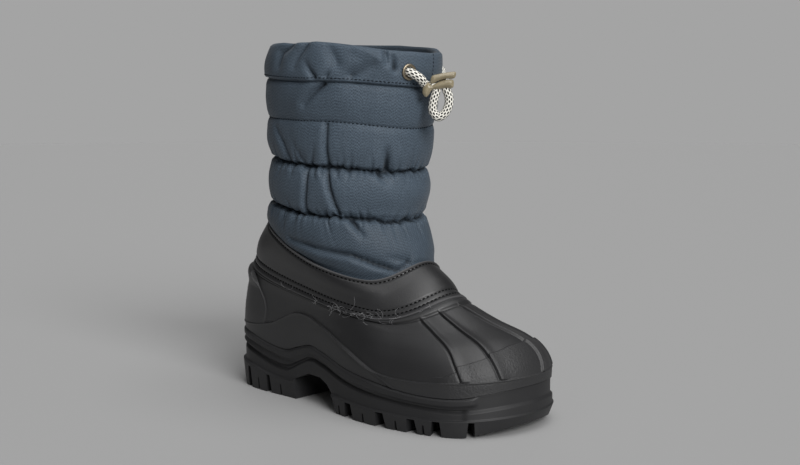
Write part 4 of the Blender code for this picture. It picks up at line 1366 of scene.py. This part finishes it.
def make_insole():
    """A footbed with a soft crown and rounded edges."""
    base = even_bearings(INSOLE_COLUMNS, 0.0)
    low = station_at(outline(base, np.zeros(INSOLE_COLUMNS))[:, 0]).bed + GAP
    rows = []
    for inset, rise in INSOLE_SECTION:
        plan = outline(base, np.full(INSOLE_COLUMNS, -RIM_WIDTH - INSOLE_IN - inset))
        rows.append(np.stack((*plan.T, low + rise), -1))
    mesh = closed_loft("insole", rows)
    return add_piece("boot_insole", mesh, fleece_finish("insole_foam", INSOLE_TONES))


def eyelet_place(eyelet):
    """Where an eyelet sits on the casing: its own Z points out of the cloth."""
    spot = place_in_metres(skin(eyelet.ring, eyelet.bearing, EYELET_STANDS))
    turn = Vector(skin_normal(eyelet.ring, eyelet.bearing)).to_track_quat("Z", "Y")
    return Matrix.LocRotScale(spot, turn, None)


def make_eyelet(eyelet, finish):
    """A rolled brass ring with its barrel, turned round its own axis."""
    middle = (EYELET_HOLE + EYELET_FLANGE) / 2
    half = (EYELET_FLANGE - EYELET_HOLE) / 2
    profile = []
    for step in range(EYELET_ARC + 1):
        angle = math.pi * step / EYELET_ARC
        profile.append((middle + half * math.cos(angle), GAP + (EYELET_RISE - GAP) * math.sin(angle)))
    profile += [(EYELET_HOLE, -EYELET_DEPTH), (EYELET_BARREL, -EYELET_DEPTH), (EYELET_BARREL, GAP * 0.6)]
    shape = bmesh.new()
    rings = []
    for step in range(EYELET_STEPS):
        turn = eyelet_place(eyelet) @ Matrix.Rotation(math.tau * step / EYELET_STEPS, 4, "Z")
        spots = [turn @ (Vector((radius, 0.0, height)) * MM) for radius, height in profile]
        rings.append([shape.verts.new(spot) for spot in spots])
    for number, ring in enumerate(rings):
        before = rings[number - 1]
        for place in range(len(profile)):
            shape.faces.new((ring[place], ring[place - 1], before[place - 1], before[place]))
    bmesh.ops.recalc_face_normals(shape, faces=shape.faces)
    return add_piece("boot_" + eyelet.name, mesh_of(eyelet.name, shape), finish, smooth_to=45)


def stopper_place():
    turn = Euler((0.0, math.radians(STOPPER_ROLL), math.radians(STOPPER_TURN)))
    return Matrix.LocRotScale(place_in_metres(STOPPER_AT), turn.to_quaternion(), None)


def on_stopper(x, depth, z):
    """A point given in the stopper's own sizes, in the model's metres."""
    return stopper_place() @ (Vector((x, depth, z)) * MM)


def smooth_loop(corners, per_span):
    """A closed outline with its corners softened."""
    last = len(corners)
    spots = []
    for span in range(last):
        near = [np.array(corners[(span + step) % last]) for step in (-1, 0, 1, 2)]
        for step in range(per_span):
            share = step / per_span
            straight = mix(near[1], near[2], share)
            spots.append(mix(through(*near, share), straight, STOPPER_STRAIGHT))
    return np.array(spots)


def make_moulding(name, corners, finish):
    """A moulding of the stopper: a softened outline drawn through its depth, with crowned faces."""
    edge = smooth_loop(corners, STOPPER_SPAN)
    half = STOPPER_DEPTH / 2
    shape = bmesh.new()
    front = [shape.verts.new(on_stopper(x, -half, z)) for x, z in edge]
    back = [shape.verts.new(on_stopper(x, half, z)) for x, z in edge]
    shape.faces.new(front)
    shape.faces.new(back)
    for number in range(len(front)):
        shape.faces.new((front[number], front[number - 1], back[number - 1], back[number]))
    bmesh.ops.recalc_face_normals(shape, faces=shape.faces)
    bmesh.ops.triangulate(shape, faces=shape.faces)
    sharp = hold("sharp", mesh_of(name, shape))
    remesh = sharp.modifiers.new("remesh", "REMESH")
    remesh.mode = "VOXEL"
    remesh.voxel_size = STOPPER_VOXEL * MM
    soften = sharp.modifiers.new("soften", "SMOOTH")
    soften.factor = 0.5
    soften.iterations = STOPPER_SOFTEN
    mesh = worked_mesh(sharp)
    back_to_flat = stopper_place().inverted()
    spots = np.array([tuple(back_to_flat @ corner.co / MM) for corner in mesh.vertices])
    inside, _, _ = line_distance(spots[:, 0], spots[:, 2], [*edge, edge[0]])
    spots[:, 1] *= 1.0 - STOPPER_CROWN * (1.0 - ease(inside / STOPPER_REACH))
    for corner, spot in zip(mesh.vertices, spots):
        corner.co = on_stopper(*spot)
    return add_piece("boot_" + name, mesh, finish)


def smooth_route(points, spacing):
    """Evenly spaced points along a smooth curve through the route's own points."""
    points = [np.array(point) for point in points]
    last = len(points) - 1
    dense = []
    for span in range(last):
        near = [points[min(max(span + step, 0), last)] for step in (-1, 0, 1, 2)]
        dense += [through(*near, step / ROUTE_FINE) for step in range(ROUTE_FINE)]
    dense = np.array(dense + [points[-1]])
    run = np.concatenate(([0.0], np.cumsum(np.linalg.norm(np.diff(dense, axis=0), axis=1))))
    count = int(run[-1] / spacing) + 1
    marks = np.linspace(0.0, run[-1], count)
    return np.stack([np.interp(marks, run, dense[:, axis]) for axis in range(3)], -1), run[-1]


def cord_route():
    """From the outer eyelet to the stopper, round the loop and back behind it to the inner eyelet."""
    outer, inner = (eyelet_place(eyelet) for eyelet in EYELETS)
    route = [outer @ (Vector(spot) * MM) for spot in OUTER_LEAVES]
    route += [on_stopper(*spot) for spot in (STOPPER_ENTRY,) + THROUGH_TO_LOOP]
    route += [on_stopper(x, 0.0, z) for x, z in CORD_LOOP]
    route += [on_stopper(*spot) for spot in THROUGH_TO_BACK + INNER_APPROACH]
    route += [place_in_metres(skin(*spot)) for spot in INNER_ON_SHAFT]
    route += [inner @ (Vector(spot) * MM) for spot in INNER_LEAVES]
    return route


def make_cord():
    """The braided drawcord as one tube with the braid's relief."""
    path, length = smooth_route(cord_route(), CORD_STEP * MM)
    tangent = unit(np.gradient(path, axis=0))
    side = np.zeros_like(path)
    side[0] = unit(np.cross(tangent[0], (0.0, 0.0, 1.0)))
    for number in range(1, len(path)):
        carried = side[number - 1] - tangent[number] * np.dot(side[number - 1], tangent[number])
        side[number] = unit(carried)
    other = np.cross(tangent, side)
    angle = np.arange(CORD_SIDES) * math.tau / CORD_SIDES
    across = np.arange(CORD_SIDES + 1) * BRAID_ROUND / CORD_SIDES
    along = np.linspace(0.0, length / MM / BRAID_PITCH, len(path))
    cell = across[:-1] % 1.0 - 0.5
    row = (along[:, None] + 0.5 * (np.floor(across[:-1]) % 2)) % 1.0 - 0.5
    relief = BRAID_RELIEF * np.cos(math.pi * cell) * np.cos(math.pi * row)
    radius = (CORD_WIDTH / 2 - BRAID_RELIEF / 2 + relief) * MM
    rounds = (np.cos(angle)[None, :, None] * side[:, None] + np.sin(angle)[None, :, None] * other[:, None])
    points = path[:, None] + rounds * radius[..., None]
    rows = len(path)
    vertices = points.reshape(-1, 3).tolist() + [path[0].tolist(), path[-1].tolist()]
    number = np.arange(rows * CORD_SIDES).reshape(rows, CORD_SIDES)
    beside = np.roll(number, -1, 1)
    faces = np.stack((number[:-1], beside[:-1], beside[1:], number[1:]), -1).reshape(-1, 4).tolist()
    body_faces = len(faces)
    faces += [(rows * CORD_SIDES, beside[0, k], number[0, k]) for k in range(CORD_SIDES)]
    faces += [(rows * CORD_SIDES + 1, number[-1, k], beside[-1, k]) for k in range(CORD_SIDES)]
    mesh = bpy.data.meshes.new("drawcord")
    mesh.from_pydata(vertices, [], [tuple(int(corner) for corner in face) for face in faces])
    low = np.broadcast_to(across[:-1], (rows - 1, CORD_SIDES))
    high = np.broadcast_to(across[1:], (rows - 1, CORD_SIDES))
    start = np.broadcast_to(along[:-1, None], low.shape)
    end = np.broadcast_to(along[1:, None], low.shape)
    u = np.stack((low, high, high, low), -1).reshape(body_faces * 4)
    v = np.stack((start, start, end, end), -1).reshape(body_faces * 4)
    uv = np.zeros((len(mesh.loops), 2), np.float32)
    uv[:body_faces * 4] = np.stack((u, v), -1)
    mesh.uv_layers.new(name="threads").data.foreach_set("uv", uv.ravel())
    return add_piece("boot_drawcord", mesh, cord_finish()), path, length


def stitch_tree():
    """Geometry Nodes: rounded stitches set end to end along a line, lying on the cloth."""
    tree = bpy.data.node_groups.new("stitch_row", "GeometryNodeTree")
    face = tree.interface
    face.new_socket("Line", in_out="INPUT", socket_type="NodeSocketGeometry")
    for name in Stitch._fields:
        face.new_socket(name.capitalize(), in_out="INPUT", socket_type="NodeSocketFloat")
    face.new_socket("Thread", in_out="INPUT", socket_type="NodeSocketMaterial")
    face.new_socket("Stitches", in_out="OUTPUT", socket_type="NodeSocketGeometry")
    nodes, links = tree.nodes, tree.links

    def add(kind, settings=(), **inputs):
        made = nodes.new(kind)
        for key, value in dict(settings).items():
            setattr(made, key, value)
        for key, value in inputs.items():
            socket = made.inputs[key.replace("_", " ")]
            if isinstance(value, bpy.types.NodeSocket):
                links.new(value, socket)
            else:
                socket.default_value = value
        return made

    given = nodes.new("NodeGroupInput").outputs
    line = add("GeometryNodeMeshToCurve", Mesh=given["Line"])
    spaced = add("GeometryNodeResampleCurve", {"mode": "LENGTH"}, Curve=line.outputs[0],
                 Length=given["Pitch"])
    away = add("GeometryNodeInputNamedAttribute", {"data_type": "FLOAT_VECTOR"}, Name="away")
    heading = add("GeometryNodeInputTangent")
    turned = add("FunctionNodeAlignRotationToVector", {"axis": "X"}, Vector=heading.outputs[0])
    laid = add("FunctionNodeAlignRotationToVector", {"axis": "Z", "pivot_axis": "X"},
               Rotation=turned.outputs[0], Vector=away.outputs[0])
    size = add("ShaderNodeCombineXYZ", X=given["Length"], Y=given["Width"], Z=given["Height"])
    ball = add("GeometryNodeMeshUVSphere", Segments=8, Rings=6, Radius=0.5)
    stitch = add("GeometryNodeTransform", Geometry=ball.outputs[0], Scale=size.outputs[0])
    rows = add("GeometryNodeInstanceOnPoints", Points=spaced.outputs[0], Instance=stitch.outputs[0],
               Rotation=laid.outputs[0])
    real = add("GeometryNodeRealizeInstances", Geometry=rows.outputs[0])
    finished = add("GeometryNodeSetMaterial", Geometry=real.outputs[0], Material=given["Thread"])
    links.new(finished.outputs[0], nodes.new("NodeGroupOutput").inputs[0])
    return tree


def make_stitches(name, tree, rows, thread):
    """One mesh with all the stitches of the given rows."""
    joined = bmesh.new()
    for row in rows:
        mesh = bpy.data.meshes.new("row")
        count = len(row.points)
        edges = [(number, number + 1) for number in range(count - 1)]
        mesh.from_pydata(to_metres(row.points).tolist(), edges, [])
        layer = mesh.attributes.new("away", "FLOAT_VECTOR", "POINT")
        layer.data.foreach_set("vector", np.asarray(row.away, np.float32).ravel())
        holder = hold("row", mesh)
        sewing = holder.modifiers.new("sewing", "NODES")
        sewing.node_group = tree
        sizes = {name.capitalize(): size for name, size in row.stitch._asdict().items()}
        for item in tree.interface.items_tree:
            if item.name in sizes:
                sewing[item.identifier] = sizes[item.name] * MM
            elif item.name == "Thread":
                sewing[item.identifier] = thread
        sewn = worked_mesh(holder)
        joined.from_mesh(sewn)
        bpy.data.meshes.remove(sewn)
    return add_piece(name, mesh_of(name, joined), thread)


def band_row(distance, from_lip):
    """A stitch row of the band at a distance from its lower or upper edge."""
    bearing = ROW_BEARINGS
    at_lip, at_top = band_climbs(bearing)
    if from_lip:
        level = LIP + distance / at_lip
    else:
        level = band_top(bearing) - distance / at_top
    points = skin(level, bearing, band_out(level, bearing) + BAND_STITCH_LIFT)
    return Row(points, skin_normal(level, bearing), BAND_STITCH)


def shaft_row(level, bearing, lift, stitch):
    level, bearing = spread(level, bearing)
    return Row(shaft_point(level, bearing, lift), skin_normal(level, bearing), stitch)


def make_lint():
    """Loose pale fibres on the band's raw edge."""
    rng = np.random.default_rng(LINT_SEED)
    curve = bpy.data.curves.new("lint", "CURVE")
    curve.dimensions = "3D"
    curve.bevel_depth = LINT_THICK * MM
    curve.bevel_resolution = 1
    for tuft in LINT:
        for _ in range(tuft.fibres):
            bearing = tuft.bearing + rng.uniform(-LINT_STRAY, LINT_STRAY)
            start = np.array(skin(tuft.level, bearing, OVERLAP_OUT + LINT_STANDS))
            normal = np.array(skin_normal(tuft.level, bearing))
            around = unit(np.array(skin(tuft.level, bearing + 1.0) - skin(tuft.level, bearing - 1.0)))
            upward = np.cross(normal, around)
            heading = rng.uniform(0.0, math.tau)
            bend = tuft.curl * rng.uniform(-1.0, 1.0)
            length = tuft.length * rng.uniform(*LINT_LENGTHS)
            spots = [start]
            for step in range(LINT_STEPS):
                heading += bend * rng.uniform(*LINT_BENDS)
                stride = around * math.cos(heading) + upward * math.sin(heading) * LINT_FLAT
                lift = normal * (LINT_LIFT * math.sin(math.pi * step / (LINT_STEPS - 1)))
                spots.append(spots[-1] + stride * length / LINT_STEPS + lift * LINT_LIFT_STEP)
            spline = curve.splines.new("POLY")
            spline.points.add(len(spots) - 1)
            for knot, spot in zip(spline.points, spots):
                knot.co = (*place_in_metres(spot), 1.0)
    mesh = worked_mesh(hold("lint_curve", curve))
    return add_piece("boot_lint", mesh, thread_finish("lint_fibre", LINT_TONE))


def add_light(light):
    """A broad far light, so that floor and boot are lit alike."""
    lamp = bpy.data.lights.new(light.name, "SUN")
    lamp.energy = light.energy
    lamp.angle = math.radians(light.angle)
    hold(light.name, lamp).rotation_euler = Vector(light.towards).to_track_quat("Z", "Y").to_euler()


def pale_surround():
    """A surround that is pale behind the boot and dim elsewhere."""
    world = bpy.data.worlds.new("studio")
    world.use_nodes = True
    nodes, links = world.node_tree.nodes, world.node_tree.links
    turn = math.radians(CAMERA_TURN)
    facing = nodes.new("ShaderNodeVectorMath")
    facing.operation = "DOT_PRODUCT"
    facing.inputs[1].default_value = (-math.sin(turn), math.cos(turn), 0.0)
    links.new(nodes.new("ShaderNodeTexCoord").outputs["Generated"], facing.inputs[0])
    share = nodes.new("ShaderNodeMapRange")
    share.interpolation_type = "SMOOTHSTEP"
    limits = {"From Min": SURROUND_FROM, "From Max": SURROUND_TO, "To Min": SURROUND_DIM,
              "To Max": SURROUND_PALE}
    for socket, limit in limits.items():
        share.inputs[socket].default_value = limit
    links.new(facing.outputs["Value"], share.inputs["Value"])
    links.new(share.outputs["Result"], nodes["Background"].inputs["Strength"])
    nodes["Background"].inputs["Color"].default_value = rgba((1.0, 1.0, 1.0))
    return world


def make_studio():
    """A pale floor, a pale surround, soft lights and the camera."""
    shape = bmesh.new()
    bmesh.ops.create_circle(shape, cap_ends=True, segments=96, radius=FLOOR_REACH)
    pale = Finish("pale_floor", {"Roughness": FLOOR_ROUGH, "Base Color": rgba([FLOOR_TONE] * 3)})
    floor = hold("studio_floor", mesh_of("floor", shape))
    floor.data.materials.append(pale.material)
    scene = bpy.context.scene
    scene.world = pale_surround()
    scene.view_settings.view_transform = "Standard"
    for light in LIGHTS:
        add_light(light)
    lens = bpy.data.cameras.new("photo_camera")
    lens.lens = CAMERA_LENS
    lens.sensor_width = SENSOR
    lens.clip_start = 0.01
    camera = hold("photo_camera", lens)
    camera.location = CAMERA_AT
    camera.rotation_euler = (math.radians(90.0 - CAMERA_DOWN), 0.0, math.radians(CAMERA_TURN))
    scene.camera = camera


def settle(piece, slot, *nodes):
    """The piece belongs to the boot's one body and stands for its solids, which are hidden. The slot
    argument is not used.
    """
    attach(piece, "root")
    if nodes:
        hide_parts(*nodes)
    return piece


def dress_boot():
    make_studio()
    cord, path, length = make_cord()
    plastic = stopper_finish()
    body = make_moulding("stopper_body", BODY_OUTLINE, plastic)
    button = make_moulding("stopper_button", BUTTON_OUTLINE, plastic)
    brass = brass_finish()
    settle(cord, "cord_braid", "cord_outer", "cord_inner", "cord_loop")
    settle(body, "stopper_plastic", "stopper_body")
    settle(button, "stopper_plastic", "stopper_button")
    for eyelet in EYELETS:
        settle(make_eyelet(eyelet, brass), "eyelet_brass", eyelet.name)
    settle(make_outsole(), "outsole_rubber", "outsole")
    settle(make_shell(), "shell_rubber", "rubber_shell")
    settle(make_band(), "band_coated_cloth", "ankle_band")
    shaft = settle(make_shaft(), "shaft_nylon", "quilted_shaft")
    settle(make_insole(), "insole_foam", "insole")
    settle(make_lining(), "insole_foam")
    tree = stitch_tree()
    # The band's thread colour is also painted shade for the stitch holes
    black = thread_finish("band_thread_and_hole_shade", BAND_THREAD_AND_HOLE_SHADE)
    navy = thread_finish("shaft_thread", SHAFT_THREAD)
    band_rows = [band_row(LOW_ROW, True), band_row(HIGH_ROW, True), band_row(TOP_ROW, False)]
    settle(make_stitches("boot_band_stitches", tree, band_rows, black), "band_coated_cloth")
    shaft_rows = [
        shaft_row(FLAT_SEAM, ROW_BEARINGS, FLAT_STITCH_LIFT, FLAT_STITCH),
        shaft_row(CASING_ROW, ROW_BEARINGS, CASING_STITCH_LIFT, CASING_STITCH),
        shaft_row(FRONT_ROW_LEVELS, FRONT_ROW_BEARINGS, CASING_STITCH_LIFT, FRONT_STITCH),
    ]
    settle(make_stitches("boot_shaft_stitches", tree, shaft_rows, navy), "shaft_nylon")
    settle(make_lint(), "shaft_nylon")


dress_boot()
